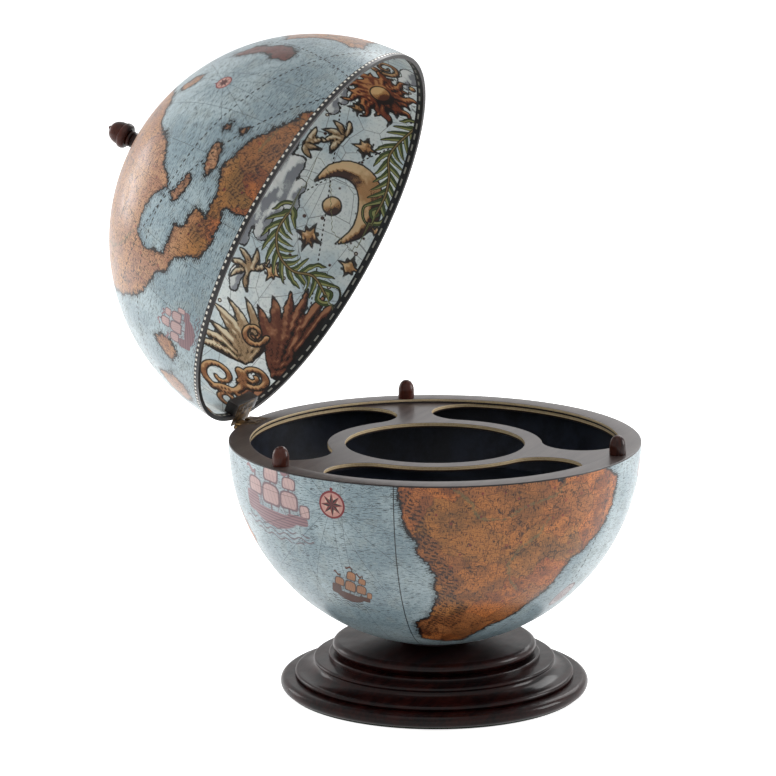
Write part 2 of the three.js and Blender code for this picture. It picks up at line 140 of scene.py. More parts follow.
def pingPong(value, reach):
    # runs up to reach and back down to 0, again and again
    return calc("PINGPONG", value, reach)


def vectorCalc(operation, first, second, output="Vector"):
    inputs = {0: first, "Scale" if operation == "SCALE" else 1: second}
    return read(treeOf(first), "ShaderNodeVectorMath", inputs, output, operation=operation)


def dot(first, second):
    return vectorCalc("DOT_PRODUCT", first, second, "Value")


def splitVector(vector):
    node = addNode(treeOf(vector), "ShaderNodeSeparateXYZ", {0: vector})
    return [Shade(output) for output in node.outputs]


def ease(value, low, high):
    # 0 at low and 1 at high, smooth between
    inputs = {"Value": value, "From Min": low, "From Max": high}
    return read(treeOf(value), "ShaderNodeMapRange", inputs, "Result", interpolation_type="SMOOTHSTEP")


def near(value, centre, outer, inner):
    # 1 closer to the centre than inner, 0 further off than outer
    return ease(abs(value - centre), outer, inner)


def striped(value, half, low, high):
    # eased bands that come back each two halves of the value
    return ease(pingPong(value, half), low, high)


def mixTone(share, first, second):
    inputs = {0: share, 6: first, 7: second}
    return read(treeOf(share, first, second), "ShaderNodeMix", inputs, 2, data_type="RGBA")


def layered(colour, *layers):
    # each layer is a share and the tone that is laid on by that share
    return reduce(lambda under, layer: mixTone(layer[0], under, layer[1]), layers, colour)


def grain(vector, scale, detail=2.0, roughness=0.5):
    inputs = {"Vector": vector, "Scale": scale, "Detail": detail, "Roughness": roughness}
    return read(treeOf(vector), "ShaderNodeTexNoise", inputs)


def cells(vector, scale, feature="F1"):
    # what is known of the nearest cell, by name
    inputs = {"Vector": vector, "Scale": scale}
    node = addNode(treeOf(vector), "ShaderNodeTexVoronoi", inputs, feature=feature)
    return {output.name: Shade(output) for output in node.outputs}


def scaled(vector, scale, shift=(0, 0, 0)):
    inputs = {"Vector": vector, "Location": shift, "Scale": scale}
    return read(treeOf(vector), "ShaderNodeMapping", inputs, "Vector")


def stretched(tree, scale=(1, 1, 1)):
    return scaled(read(tree, "ShaderNodeTexCoord", output="Object"), scale)


def tone(red, green, blue):
    # a screen colour, 0 to 255, as the shader's linear one
    def linear(value):
        value = value / 255
        return value / 12.92 if value <= 0.04045 else ((value + 0.055) / 1.055) ** 2.4

    return (linear(red), linear(green), linear(blue), 1)


def brightened(colour, share):
    return tuple(value * share for value in colour[:3]) + (1,)


def newFinish(name):
    material = bpy.data.materials.new(name)
    material.use_nodes = True
    tree = material.node_tree
    return material, tree, tree.nodes["Principled BSDF"]


def setSockets(shader, **values):
    for key, value in values.items():
        feed(shader.inputs[key.replace("_", " ")], value)


def bumped(height, strength, distance):
    inputs = {"Height": height, "Strength": strength, "Distance": distance}
    return read(treeOf(height), "ShaderNodeBump", inputs, "Normal")


# The printed chart on the globe

mapTones = {
    "seaPale": tone(172, 189, 194), "seaDeep": tone(138, 158, 166), "seaStain": tone(138, 148, 146),
    "landLight": tone(200, 122, 66), "landDark": tone(134, 76, 40), "landOlive": tone(144, 113, 62),
    "landRose": tone(158, 92, 62), "landTan": tone(186, 142, 106), "landPink": tone(166, 120, 92),
    "landRed": tone(102, 58, 52), "ink": tone(15, 11, 11), "redInk": tone(116, 38, 42),
    "brownInk": tone(78, 44, 32), "bone": tone(232, 228, 216), "oliveInk": tone(92, 96, 66),
}
ink, redInk, brownInk = (mapTones[name] for name in ("ink", "redInk", "brownInk"))
# scale, detail and roughness of each noise
mapGrains = {"broad": (3.2, 4, 0.6), "middle": (13, 4, 0.6), "fine": (70, 3, 0.6), "speck": (190, 2, 0.6)}
# a ship's sails, each by its middle and half size, and its masts, each by place and top
shipSails = (((-8.5, 9), (3.9, 4.2)), ((0.5, 8), (4.6, 5.4)), ((0.5, 18.5), (3.8, 4.2)),
             ((9.4, 8), (4, 4.6)), ((9.4, 16.5), (3, 3)), ((16, 4), (2, 3.4)))
shipMasts = ((-8.5, 17), (0.5, 26), (9.4, 22))
roseStar = {"reach": 0.88, "waist": 0.37}


def direction(lon, lat):
    lon, lat = radians(lon), radians(lat)
    return Vector((cos(lat) * cos(lon), cos(lat) * sin(lon), sin(lat)))


def surfaceOffset(chart, lon, lat, turn):
    # mm across and up from a place on the globe, turned, and a mask for its side of the globe
    out, east = direction(lon, lat), direction(lon + 90, 0)
    north = out.cross(east)
    level, slant = cos(radians(turn)), sin(radians(turn))
    across = (east * level + north * slant) * globe["radius"]
    up = (north * level - east * slant) * globe["radius"]
    return dot(chart, across), dot(chart, up), dot(chart, out) > 0.5


def ovalShare(u, v, centre, half, power=2):
    # under 1 inside a rounded shape of that half width and half height
    x = abs((u - centre[0]) / half[0])
    y = abs((v - centre[1]) / half[1])
    return (x ** power + y ** power) ** (1 / power)


def paintShip(colour, u, v, side, size, hullTone, sailTone, inkTone):
    u, v = u / size[0], v / size[1]
    hull = larger(ovalShare(u, v, (0, 4), (15, 14)), ease(v, -3.4, -0.2))
    stern = ovalShare(u, v, (-10.5, -0.5), (4, 5.5), 5)
    bow = ovalShare(u, v, (12.5, -1.5), (4.5, 2.6), 4)
    hullMask = larger(ease(hull, 1.02, 0.94), ease(stern, 1.05, 0.93), ease(bow, 1.05, 0.93))
    sails = smaller(*[ovalShare(u, v + (u - place[0]) ** 2 * 0.05, place, half, 4)
                      for place, half in shipSails])
    rigs = []
    for place, top in shipMasts:
        mast = near(u, place, 0.6, 0.35) * (v > -2) * (v < top)
        stay = abs(abs(u - place) - (top - 3 - v) * 0.3)
        flag = ovalShare(u, v + sine(u * 1.1), (place - 3, top - 0.8), (3, 1), 3)
        rigs.append((mast, ease(stay, 0.4, 0.15) * (v > -1) * (v < top - 3), ease(flag, 1.1, 0.8)))
    masts, stays, flags = (larger(*parts) for parts in zip(*rigs))
    folds = striped(u + v * 0.25, 0.9, 0.7, 0.85) * 0.4
    planks = striped(v, 0.8, 0.1, 0.35)
    wake = (v < -8.5) * ease(ovalShare(u, v, (0, -11.5), (19, 5)), 1, 0.9)
    waves = striped(v + sine(u * 0.9), 1.5, 0.6, 0.3) * wake
    return layered(
        colour,
        (larger(masts, stays * 0.6) * side * 0.9, inkTone),
        (flags * side, hullTone),
        (ease(sails, 1.03, 0.93) * side, mixTone(folds, sailTone, inkTone)),
        (near(sails, 0.95, 0.14, 0.06) * side * 0.9, inkTone),
        (hullMask * side, mixTone(planks, inkTone, hullTone)),
        (waves * side * 0.8, inkTone))


def paintRose(colour, u, v, side, radius, onSea):
    distance = root(u * u + v * v) / radius
    angle = angleOf(v, u)
    courseMm = pingPong(angle, pi / 16) * distance * radius
    courses = ease(courseMm, 0.35, 0.12) * ease(distance, 11, 7) * onSea * side
    between = pingPong(angle, pi / 8) / (pi / 8)
    star = 1 / ((1 - between) / roseStar["reach"] + between / roseStar["waist"])
    disc = ease(distance, 1.0, 0.97) * side
    pin = ovalShare(u, v, (0, radius * 1.12), (radius * 0.13, radius * 0.16))
    return layered(
        colour,
        (courses * 0.6, ink),
        (disc * 0.9, mixTone(ease(distance, 0.55, 0.6), tone(214, 172, 152), tone(196, 140, 128))),
        (ease(distance - star, 0.03, -0.03) * disc, mixTone(sine(angle * 8) > 0, tone(112, 44, 44), ink)),
        (near(distance, 0.95, 0.09, 0.06) * side, redInk),
        (ease(pin, 1, 0.8) * side, redInk))


def paintOval(colour, u, v, side, half):
    share = ovalShare(u, v, (0, 0), half)
    ring = near(share, 0.93, 0.09, 0.05)
    inner = near(share, 0.6, 0.05, 0.02)
    spokes = striped(angleOf(v, u), pi / 12, 0.1, 0.04) * (share < 0.6)
    return layered(
        colour,
        (ease(share, 1.0, 0.96) * side * 0.65, tone(170, 142, 140)),
        (larger(ring, inner, spokes) * side * 0.85, tone(70, 40, 44)))


def dashedCircle(chart, start, end, width, dash):
    # a dashed great circle through two places
    pole = direction(*start).cross(direction(*end)).normalized()
    first = pole.orthogonal().normalized()
    run = angleOf(dot(chart, pole.cross(first)), dot(chart, first)) * globe["radius"]
    away = abs(dot(chart, pole) * globe["radius"])
    return ease(away, width, width * 0.6) * striped(run, dash, dash * 0.42, dash * 0.52)


def chartSetting(tree, grains):
    # direction from the globe's middle, longitude, latitude, how narrow a parallel is, and the noises
    chart = vectorCalc("NORMALIZE", stored(tree, "chart", "Vector"), (0, 0, 0))
    x, y, z = splitVector(chart)
    noises = [grain(chart, *values) for values in grains.values()]
    lon, lat = angleOf(y, x) * (180 / pi), calc("ARCSINE", z) * (180 / pi)
    overOne = 1.0001  # keeps the root real at the poles
    return chart, lon, lat, root(overOne - z * z), noises


def chartFinish(name, onLid, marks):
    material, tree, shader = newFinish(name)
    chart, lon, lat, narrow, noises = chartSetting(tree, mapGrains)
    broad, middle, fine, speck = noises
    coast, tint, ridge, river = (stored(tree, key) for key in ("coast", "tint", "ridge", "river"))
    midWidth = 0.9  # of a degree of longitude, as against one of latitude
    lonMm, latMm = lon * (degree * midWidth), lat * degree
    sheet = read(tree, "ShaderNodeCombineXYZ", {"X": lonMm, "Y": latMm})

    def scribble(scale, seed, low, high):
        # short engraved dashes
        return ease(grain(scaled(sheet, scale, (seed, seed, 0)), 1.0, 1, 0.5), low, high)

    shore = coast + ((middle - 0.5) * 15 + (fine - 0.5) * 8)
    landMask = ease(shore, -0.25, 0.25)

    swell = cells(sheet, 0.055)
    swellEast, swellNorth, _ = splitVector(vectorCalc("SUBTRACT", sheet, swell["Position"]))
    crest = swellNorth + sine(swellEast * 1.6) * 0.7
    swellPart = (abs(swellEast) < 5) * (abs(swellNorth) < 2) * (splitVector(swell["Color"])[0] > 0.62)
    sea = layered(
        mixTone(ease(broad, 0.4, 0.62), mapTones["seaDeep"], mapTones["seaPale"]),
        (ease(middle, 0.52, 0.62) * 0.4, mapTones["seaStain"]),
        (ease(speck, 0.54, 0.62) * 0.4, tone(88, 106, 113)),
        (scribble((0.16, 1.3, 1), 3, 0.58, 0.62) * 0.8, tone(46, 56, 60)),
        (scribble((0.34, 0.7, 1), 9, 0.42, 0.32) * 0.25, tone(206, 216, 216)),
        (striped(crest, 1.3, 0.42, 0.22) * swellPart * 0.7, tone(44, 52, 56)))

    shift = read(tree, "ShaderNodeTexNoise", {"Vector": chart, "Scale": 9.0, "Detail": 3.0}, "Color")
    warped = vectorCalc("ADD", chart, vectorCalc("SCALE", shift, 0.16))
    share = splitVector(cells(warped, 4.2)["Color"])
    border = cells(warped, 4.2, "DISTANCE_TO_EDGE")["Distance"]
    olive = ease(share[0], 0.1, 0.4) * 0.6 if onLid else ease(share[0], 0.45, 0.65) * 0.4
    tan = mixTone(ease(middle, 0.42, 0.58), mapTones["landPink"], mapTones["landTan"])
    streams = near(grain(chart, 8, 3, 0.55), 0.5, 0.011, 0.004)
    towns = cells(chart, 19.0)
    townRing = near(towns["Distance"], 0.1, 0.05, 0.03) * (splitVector(towns["Color"])[0] > 0.45)
    slopeRun = latMm * 0.87 + lonMm * 0.5 + middle * 12
    slopeAcross = lonMm * 0.87 - latMm * 0.5 + middle * 16
    slopeBand = ease(ridge + (middle - 0.5) * 26, 8.5, 7)
    slopes = striped(slopeRun, 2.1, 1.15, 0.7) * slopeBand * striped(slopeAcross, 3.6, 0.7, 1.5)
    land = layered(
        mixTone(ease(broad * 0.5 + middle * 0.5, 0.42, 0.58), mapTones["landDark"], mapTones["landLight"]),
        (olive, mapTones["landOlive"]),
        (ease(share[1], 0.5, 0.7) * 0.35, mapTones["landRose"]),
        (ease(tint, 0, 1) * 0.92, tan),
        (ease(tint, 1.1, 2), mapTones["landRed"]),
        (ease(speck, 0.53, 0.61) * 0.45, brownInk),
        (scribble((0.22, 1.0, 1), 5, 0.57, 0.62) * 0.6, brownInk),
        (scribble((0.9, 0.24, 1), 21, 0.6, 0.63) * 0.75, ink),
        (ease(border, 0.016, 0.006) * 0.5, brownInk),
        (streams * 0.75, ink),
        (ease(river + (fine - 0.5) * 7, 1.7, 0.9) * 0.55, mapTones["oliveInk"]),
        (townRing * 0.8, redInk),
        (slopeBand * 0.16, brownInk),
        (slopes * (0.6 if onLid else 0.85), ink))

    seaSide = shore * -1
    strokeEnd = grain(chart, 40, 1, 0.5) * 5.5 + 1.5
    strokes = striped(latMm, 0.95, 0.5, 0.3) * (seaSide > 0) * (seaSide < strokeEnd)
    meridian = pingPong(lon + 3, 7.5) * narrow * degree
    parallel = pingPong(lat, 5) * degree
    colour = layered(
        mixTone(landMask, sea, land),
        (strokes * 0.75, ink),
        (ease(shore, 5, 0.5) * landMask * 0.5, brownInk),
        (ease(abs(shore), middle * 1.3 + 1.0, 0.75), ink),
        (larger(ease(meridian, 0.34, 0.14), ease(parallel, 0.32, 0.12) * 0.8) * 0.6, ink))
    for kind, values in marks:
        if kind == "meridian":
            line = abs(lon - values[0]) * narrow * degree
            colour = mixTone(ease(line, 0.65, 0.35) * 0.9, colour, ink)
        elif kind == "circle":
            colour = mixTone(dashedCircle(chart, *values, 0.85, 3.2), colour, ink)
        else:
            u, v, side = surfaceOffset(chart, *values[:3])
            if kind == "ship":
                colour = paintShip(colour, u, v, side, *values[3:])
            elif kind == "rose":
                colour = paintRose(colour, u, v, side, values[3], shore < -0.6)
            else:
                colour = paintOval(colour, u, v, side, values[3])

    if onLid:  # printed scale along the edge
        beads = striped(lon, 0.95, 0.5, 0.38) * near(lat, 1.32, 0.3, 0.22)
        colour = layered(colour, (lat < 1.75, tone(22, 20, 22)), (beads, mapTones["bone"]))
    seam = ease(pingPong(lon + 18, 15) * narrow * degree, 0.15, 0.5)
    setSockets(shader, Base_Color=colour, Roughness=ease(middle, 0.4, 0.7) * 0.14 + 0.3,
               Coat_Weight=0.15, Coat_Roughness=0.2, Specular_IOR_Level=0.3,
               Normal=bumped(seam * 0.4 + speck * 0.35, 0.25, 0.0004))
    return material


# The night sky printed inside the lid

skyGrains = {"broad": (3.5, 4, 0.6), "middle": (16, 4, 0.6), "fine": (75, 3, 0.6)}
skyCircles = (((-40, 25), (40, 8)), ((-30, -4), (20, 34)))


def skyFinish():
    material, tree, shader = newFinish("lidLining")
    chart, lon, lat, narrow, noises = chartSetting(tree, skyGrains)
    broad, middle, fine = noises
    midWidth = 0.95
    lonMm, latMm = lon * (degree * midWidth), lat * degree
    web = cells(chart, 6.0, "DISTANCE_TO_EDGE")["Distance"]
    meridian = pingPong(lon, 15) * narrow * degree
    net = larger(ease(web, 0.012, 0.005), ease(meridian, 0.5, 0.2), striped(lat, 11.25, 0.12, 0.05))
    stars = cells(chart, 10.0)["Distance"]
    colour = layered(
        mixTone(ease(broad, 0.4, 0.6), tone(206, 219, 223), tone(236, 241, 239)),
        (ease(fine, 0.5, 0.66) * 0.25, tone(104, 118, 126)),
        (net * 0.6, tone(46, 46, 50)),
        *[(dashedCircle(chart, start, end, 0.9, 2.6), tone(34, 30, 30)) for start, end in skyCircles],
        (ease(stars, 0.14, 0.1), tone(60, 34, 28)),
        (ease(stars, 0.07, 0.045), tone(222, 214, 196)))
    hatch = pingPong(lonMm * 0.7 + latMm * 0.7 + middle * 30, 1.3)
    for motif in skyMotifs:
        shape = stored(tree, motif["name"]) + (middle - 0.5) * 9 * motif["ragged"]
        lit = stored(tree, motif["name"] + "Lit") + (middle - 0.5) * motif["folds"]
        lines = ease(hatch + lit * 0.75, 0.35, 0.1) * ease(lit, 0.35, -0.2)
        body = layered(
            mixTone(ease(lit, -0.1, -0.75), motif["fill"], motif["shade"]),
            (ease(lit, 0.15, 0.8), motif["light"]),
            (lines * 0.8, motif["shade"]))
        edge = ease(abs(shape), 1.2, 0.6) * 0.95
        colour = layered(colour, (ease(shape, -0.3, 0.3), body), (edge, tone(22, 15, 14)))

    along, across = stored(tree, "stemAlong"), stored(tree, "stemAcross")
    away = abs(across)
    phase = along + calc("SIGN", across) * laurel["stagger"] - away
    rib = pingPong(phase, laurel["spacing"] / 2)
    blade = root(larger(0, 1 - away / laurel["reach"])) * laurel["half"] - rib
    wave = sine(phase * (tau / laurel["spacing"])) + (middle - 0.5)
    green = layered(
        mixTone(ease(wave, -0.3, 0.3), tone(70, 84, 44), tone(150, 152, 92)),
        (ease(rib, 0.7, 0.3) * 0.8, tone(34, 38, 24)))
    onLeaf = (away < laurel["reach"]) * ease(blade, -0.6, -0.1)
    dashes = striped(lon, 2.1, 1.25, 1.05) * near(lat, 1.55, 0.3, 0.2)
    colour = layered(
        colour,
        (onLeaf, tone(24, 22, 18)),
        (onLeaf * ease(blade, 0.3, 0.8), green),
        (ease(away, 1.9, 1.5), tone(52, 40, 26)),
        (ease(away, 0.9, 0.6), tone(140, 118, 76)),
        (lat < 2.5, tone(18, 17, 19)),
        (dashes * 0.75, tone(178, 174, 162)))
    setSockets(shader, Base_Color=colour, Roughness=0.45, Coat_Weight=0.1, Coat_Roughness=0.3,
               Specular_IOR_Level=0.3, Normal=bumped(fine, 0.2, 0.0004))
    return material


# Other finishes

def woodFinish(name, dark, light, scale, pores, rough, coat, coatRough=0.3, shine=0.25):
    material, tree, shader = newFinish(name)
    along = stretched(tree, scale)
    bands, lines = grain(along, 9, 5, 0.62), grain(along, 60, 3, 0.6)
    smudge = ease(grain(stretched(tree), 22, 3, 0.6), 0.4, 0.7)
    colour = layered(
        mixTone(ease(bands * 0.65 + lines * 0.35, 0.36, 0.64), dark, light),
        (ease(lines, 0.6, 0.72) * pores, brightened(dark, 0.35)))
    setSockets(shader, Base_Color=colour, Roughness=smudge * (rough[1] - rough[0]) + rough[0],
               Coat_Weight=coat, Coat_Roughness=coatRough, Specular_IOR_Level=shine,
               Normal=bumped(lines + bands * 0.5, 0.12, 0.0005))
    return material


def boardFinish():
    # tray and rim ring: brown lacquered ply with pale cut edges that show its layers, and painted shade along
    # the bottom of each cut edge
    cut = {"lowest": 241, "sheet": 5, "ringSide": 0.192}
    material, tree, shader = newFinish("lacqueredPly")
    along = stretched(tree, (1, 9, 9))
    bands, lines = grain(along, 9, 5, 0.62), grain(along, 70, 3, 0.6)
    x, y, z = splitVector(read(tree, "ShaderNodeTexCoord", output="Object"))
    up = abs(splitVector(read(tree, "ShaderNodeTexCoord", output="Normal"))[2])
    level = z * 1000
    top = layered(
        mixTone(ease(bands, 0.36, 0.66), tone(48, 38, 36), tone(70, 59, 56)),
        (ease(lines, 0.52, 0.7) * 0.25, tone(38, 29, 27)))
    side = layered(
        mixTone(striped(level, 0.7, 0.2, 0.5), tone(214, 196, 160), tone(184, 158, 120)),
        (ease(lines, 0.45, 0.65) * 0.3, tone(140, 114, 84)),
        # painted shade: a dark band along the lowest part of each sheet's cut edge, standing in for the shade
        # under the ring
        (ease(calc("MODULO", level - cut["lowest"], cut["sheet"]), 1.9, 1.6), tone(40, 32, 30)),
        (root(x ** 2 + y ** 2) > cut["ringSide"], tone(20, 16, 16)))
    setSockets(shader, Base_Color=mixTone(ease(up, 0.75, 0.5), top, side), Roughness=0.38, Coat_Weight=0.22,
               Coat_Roughness=0.18, Specular_IOR_Level=0.2, Normal=bumped(lines, 0.15, 0.0005))
    return material


def liningFinish(name, deep, pale, rough):
    material, tree, shader = newFinish(name)
    place = stretched(tree)
    cloud, tooth = grain(place, 24, 4, 0.65), grain(place, 900, 2, 0.6)
    colour = layered(
        mixTone(ease(cloud, 0.4, 0.66), deep, pale),
        (ease(tooth, 0.55, 0.75) * 0.3, brightened(pale, 1.8)))
    setSockets(shader, Base_Color=colour, Roughness=rough, Specular_IOR_Level=0.2,
               Normal=bumped(tooth, 0.3, 0.0003))
    return material


def metalFinish(name, dark, light, rough, scratch):
    material, tree, shader = newFinish(name)
    patch = grain(stretched(tree), 160, 4, 0.6)
    scratches = grain(stretched(tree, scratch), 3, 3, 0.6)
    setSockets(shader, Base_Color=mixTone(ease(patch, 0.38, 0.64), dark, light), Metallic=1.0,
               Roughness=scratches * 0.25 + rough, Normal=bumped(scratches, 0.15, 0.0002))
    return material


def feltFinish():
    material, tree, shader = newFinish("greenFelt")
    place = stretched(tree)
    fuzz, cloud = grain(place, 1400, 3, 0.7), grain(place, 60, 3, 0.6)
    colour = layered(
        mixTone(ease(fuzz, 0.35, 0.7), tone(20, 28, 22), tone(44, 56, 44)),
        (ease(cloud, 0.5, 0.7) * 0.3, tone(60, 66, 54)))
    setSockets(shader, Base_Color=colour, Roughness=0.95, Sheen_Weight=0.4, Normal=bumped(fuzz, 0.6, 0.0006))
    return material


# Shapes

farMm, tieMm = 1e9, 1e-6
aboveZero = 1e-9  # added to what is divided by where that can be 0
storedReach = 60  # mm, past which a stored distance says no more
weld = 1e-6  # m


def arcPoints(centreRadius, centreHeight, reach, rise, start, end, steps):
    angles = [radians(start + (end - start) * i / steps) for i in range(steps + 1)]
    return [(centreRadius + reach * cos(a), centreHeight + rise * sin(a)) for a in angles]


def rounding(centreRadius, centreHeight, reach, start, end, steps):
    return arcPoints(centreRadius, centreHeight, reach, reach, start, end, steps)


def nosing(centreRadius, low, top, reach, start, end, steps):
    # an arc between two heights that stands out by reach
    return arcPoints(centreRadius, (low + top) / 2, reach, (top - low) / 2, start, end, steps)


def joinUp(form):
    # joins points that lie on each other and turns the faces outwards
    bmesh.ops.remove_doubles(form, verts=form.verts, dist=weld)
    bmesh.ops.recalc_face_normals(form, faces=form.faces)


def spinOutline(outline, steps, closed=True):
    # turns an outline of (radius, height) in mm about the globe's axis
    form = bmesh.new()
    points = [form.verts.new((radius * mm, 0, height * mm)) for radius, height in outline]
    pairs = list(zip(points, points[1:])) + ([(points[-1], points[0])] if closed else [])
    edges = [form.edges.new(pair) for pair in pairs]
    bmesh.ops.spin(form, geom=points + edges, cent=(0, 0, 0), axis=(0, 0, 1), dvec=(0, 0, 0), angle=tau / 4,
                   steps=steps // 4, use_merge=False, use_duplicate=False)
    quarter = form.verts[:] + form.edges[:] + form.faces[:]
    for turns in (1, 2, 3):
        copied = bmesh.ops.duplicate(form, geom=quarter)["geom"]
        corners = [part for part in copied if isinstance(part, bmesh.types.BMVert)]
        bmesh.ops.rotate(form, cent=(0, 0, 0), matrix=Matrix.Rotation(tau / 4 * turns, 3, "Z"), verts=corners)
    joinUp(form)
    return form


def addObject(name, data):
    added = bpy.data.objects.new(name, data)
    bpy.context.scene.collection.objects.link(added)
    return added


def makePiece(name, form, body, finishes, replaced=(), sharp=38, place=None):
    if place is not None:
        bmesh.ops.transform(form, matrix=place, verts=form.verts)
    mesh = bpy.data.meshes.new(name)
    form.to_mesh(mesh)
    form.free()
    mesh.shade_smooth()
    mesh.set_sharp_from_angle(angle=radians(sharp))
    piece = addObject(name, mesh)
    for finish in finishes:
        mesh.materials.append(finish)
    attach(piece, body)
    if replaced:
        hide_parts(*replaced)
    return piece


def smoothStroke(stroke, parts=4):
    # a rounder line through the same points
    def curved(share, a, b, c, d):
        bend, twist = 2 * a - 5 * b + 4 * c - d, 3 * b - a - 3 * c + d
        return 0.5 * (2 * b + (c - a) * share + bend * share * share + twist * share ** 3)

    if len(stroke) < 3:
        return stroke
    ends = [stroke[0], *stroke, stroke[-1]]
    curve = [tuple(curved(i / parts, *values) for values in zip(*quad))
             for quad in zip(ends, ends[1:], ends[2:], ends[3:]) for i in range(parts)]
    return curve + [stroke[-1]]


def fromPart(lon, lat, squeeze, start, end):
    # for each place: how far on the part the nearest point is, 0 to 1, mm to it, and its side
    alongX, alongY = (end[0] - start[0]) * squeeze, end[1] - start[1]
    fromX, fromY = (lon - start[0]) * squeeze, lat - start[1]
    share = np.clip((fromX * alongX + fromY * alongY) / (alongX ** 2 + alongY ** 2 + aboveZero), 0, 1)
    away = np.hypot(fromX - share * alongX, fromY - share * alongY) * degree
    return share, away, alongX * fromY - alongY * fromX


def edgeDistance(lon, lat, points, closed=True):
    # mm from each place to an outline in degrees, positive inside a closed one
    best, inside, squeeze = np.full(lon.shape, farMm), np.zeros(lon.shape, bool), np.cos(np.radians(lat))
    for start, end in zip(points, points[1:] + points[:1] if closed else points[1:]):
        best = np.minimum(best, fromPart(lon, lat, squeeze, start, end)[1])
        if start[1] != end[1]:
            crossing = (end[0] - start[0]) * (lat - start[1]) / (end[1] - start[1]) + start[0]
            inside ^= ((start[1] > lat) != (end[1] > lat)) & (lon < crossing)
    return np.where(inside, best, -best) if closed else best


def strokeDistance(lon, lat, stroke):
    # mm inside a stroke: a list of (lon, lat, radius in mm); one entry is a disc
    best, squeeze = np.full(lon.shape, -farMm), np.cos(np.radians(lat))
    for start, end in zip(stroke, stroke[1:] or stroke):
        share, away, _ = fromPart(lon, lat, squeeze, start, end)
        best = np.maximum(best, start[2] + (end[2] - start[2]) * share - away)
    return best


def stemPlaces(lon, lat, stems):
    # mm along the nearest stem and, with a sign, mm away from it
    best, along, side = np.full(lon.shape, farMm), np.zeros(lon.shape), np.ones(lon.shape)
    squeeze = np.cos(np.radians(lat))
    for stem in stems:
        run = 0
        for start, end in zip(stem, stem[1:]):
            share, away, turn = fromPart(lon, lat, squeeze, start, end)
            length = np.hypot((end[0] - start[0]) * squeeze, end[1] - start[1]) * degree
            along = np.where(away < best, run + share * length, along)
            side = np.where(away < best, np.where(turn < 0, -1, 1), side)
            best = np.minimum(best, away)
            run = run + length
    return along, np.clip(best, 0, storedReach) * side


def storeValues(mesh, name, values):
    mesh.attributes.new(name, "FLOAT", "POINT").data.foreach_set("value", values.astype(np.float32))


def chartPlaces(form):
    # unit vectors from the globe's middle, with their longitudes, 0 to 360, and latitudes
    places = np.array([v.co for v in form.verts], float) - np.array((0, 0, globe["middle"] * mm))
    places /= np.linalg.norm(places, axis=1)[:, None]
    lon = np.degrees(np.arctan2(places[:, 1], places[:, 0])) % 360
    return places, lon, np.degrees(np.arcsin(np.clip(places[:, 2], -1, 1)))


def shellForm(side, start, hole, outerSteps, innerSteps, steps):
    # half a globe, up or down by its side, from a height off the middle to a hole in the pole
    def quarter(size, count):
        first, last = degrees(asin(start / size)), degrees(acos(hole / size))
        return arcPoints(0, globe["middle"], size, side * size, first, last, count)

    inner = quarter(globe["radius"] - globe["wall"], innerSteps)
    return spinOutline(quarter(globe["radius"], outerSteps) + inner[::-1], steps)


def setFinishIndex(form):
    # 0 outside, 1 inside, 2 the cut edge and the hole in the pole
    steep = 0.7
    for face in form.faces:
        centre = face.calc_center_median() - Vector((0, 0, globe["middle"] * mm))
        outwards = face.normal.dot(centre.normalized())
        face.material_index = 0 if outwards > steep else 1 if outwards < -steep else 2


# What is drawn on the globe, longitudes and latitudes in degrees

bowlLands = {
    "main": [(193, 3), (192.7, -2), (193.5, -5), (194, -8), (195, -10.5), (197, -14), (198, -17),
             (197.7, -19), (200, -22), (201.5, -24), (203.8, -28), (204, -33), (203, -36.5), (202.7, -40),
             (201.5, -44), (197.5, -46), (195, -50), (195, -55), (198, -60), (210, -63), (221, -61.5),
             (223, -57), (226, -52), (232, -48.5), (236, -45), (239, -42), (242, -39), (245, -34),
             (247, -29.5), (249, -26), (253, -23.5), (256, -20.5), (258.5, -19), (260.2, -15.5),
             (261.8, -12), (261.4, -9), (263, -5.5), (262.6, -3.5), (259, -1.5), (256, 0.5), (252, 3),
             (243, 3), (240.5, -1.2), (239.5, -2.4), (238, -0.5), (236, 3)],
    "leftIsle": [(116, -8), (121, -12), (124, -17), (128, -20), (131, -25), (127, -30), (119, -27),
                 (114, -18)],
    "farCape": [(20, 3), (24, -6), (22, -14), (28, -22), (33, -31), (38, -37), (45, -36), (50, -28),
                (57, -22), (58, -13), (66, -6), (70, 3)],
    "farIsle": [(74, -18), (77, -15), (79, -20), (77, -27), (74, -26)],
    "eastIsle": [(300, -10), (308, -7), (315, -10), (322, -9), (328, -14), (330, -22), (322, -30),
                 (312, -27), (304, -26), (298, -18)],
    "spiceIsle": [(336, -4), (342, -2), (345, -6), (340, -9)],
}
bowlRivers = [
    [(223, -9.7), (225.6, -8.2), (228.4, -6.6), (232.5, -5.9), (235.6, -5.1), (238.5, -4.4), (241, -1)],
    [(208, -1), (211, -3), (213, -5), (214, -8), (217, -9.7), (223, -9.7)],
    [(231, -34), (227, -30), (225, -24), (228, -19), (233, -16), (236, -11)],
    [(28, -8), (36, -10), (45, -8)],
]
bowlRidges = [
    [(195.8, -3), (197, -8), (200, -13), (201.5, -19), (205, -24), (207, -30), (206.5, -37), (205, -44),
     (201, -50), (203, -56)],
    [(212, -40), (209, -49)],
    [(34, -5), (36, -14), (42, -24)],
]
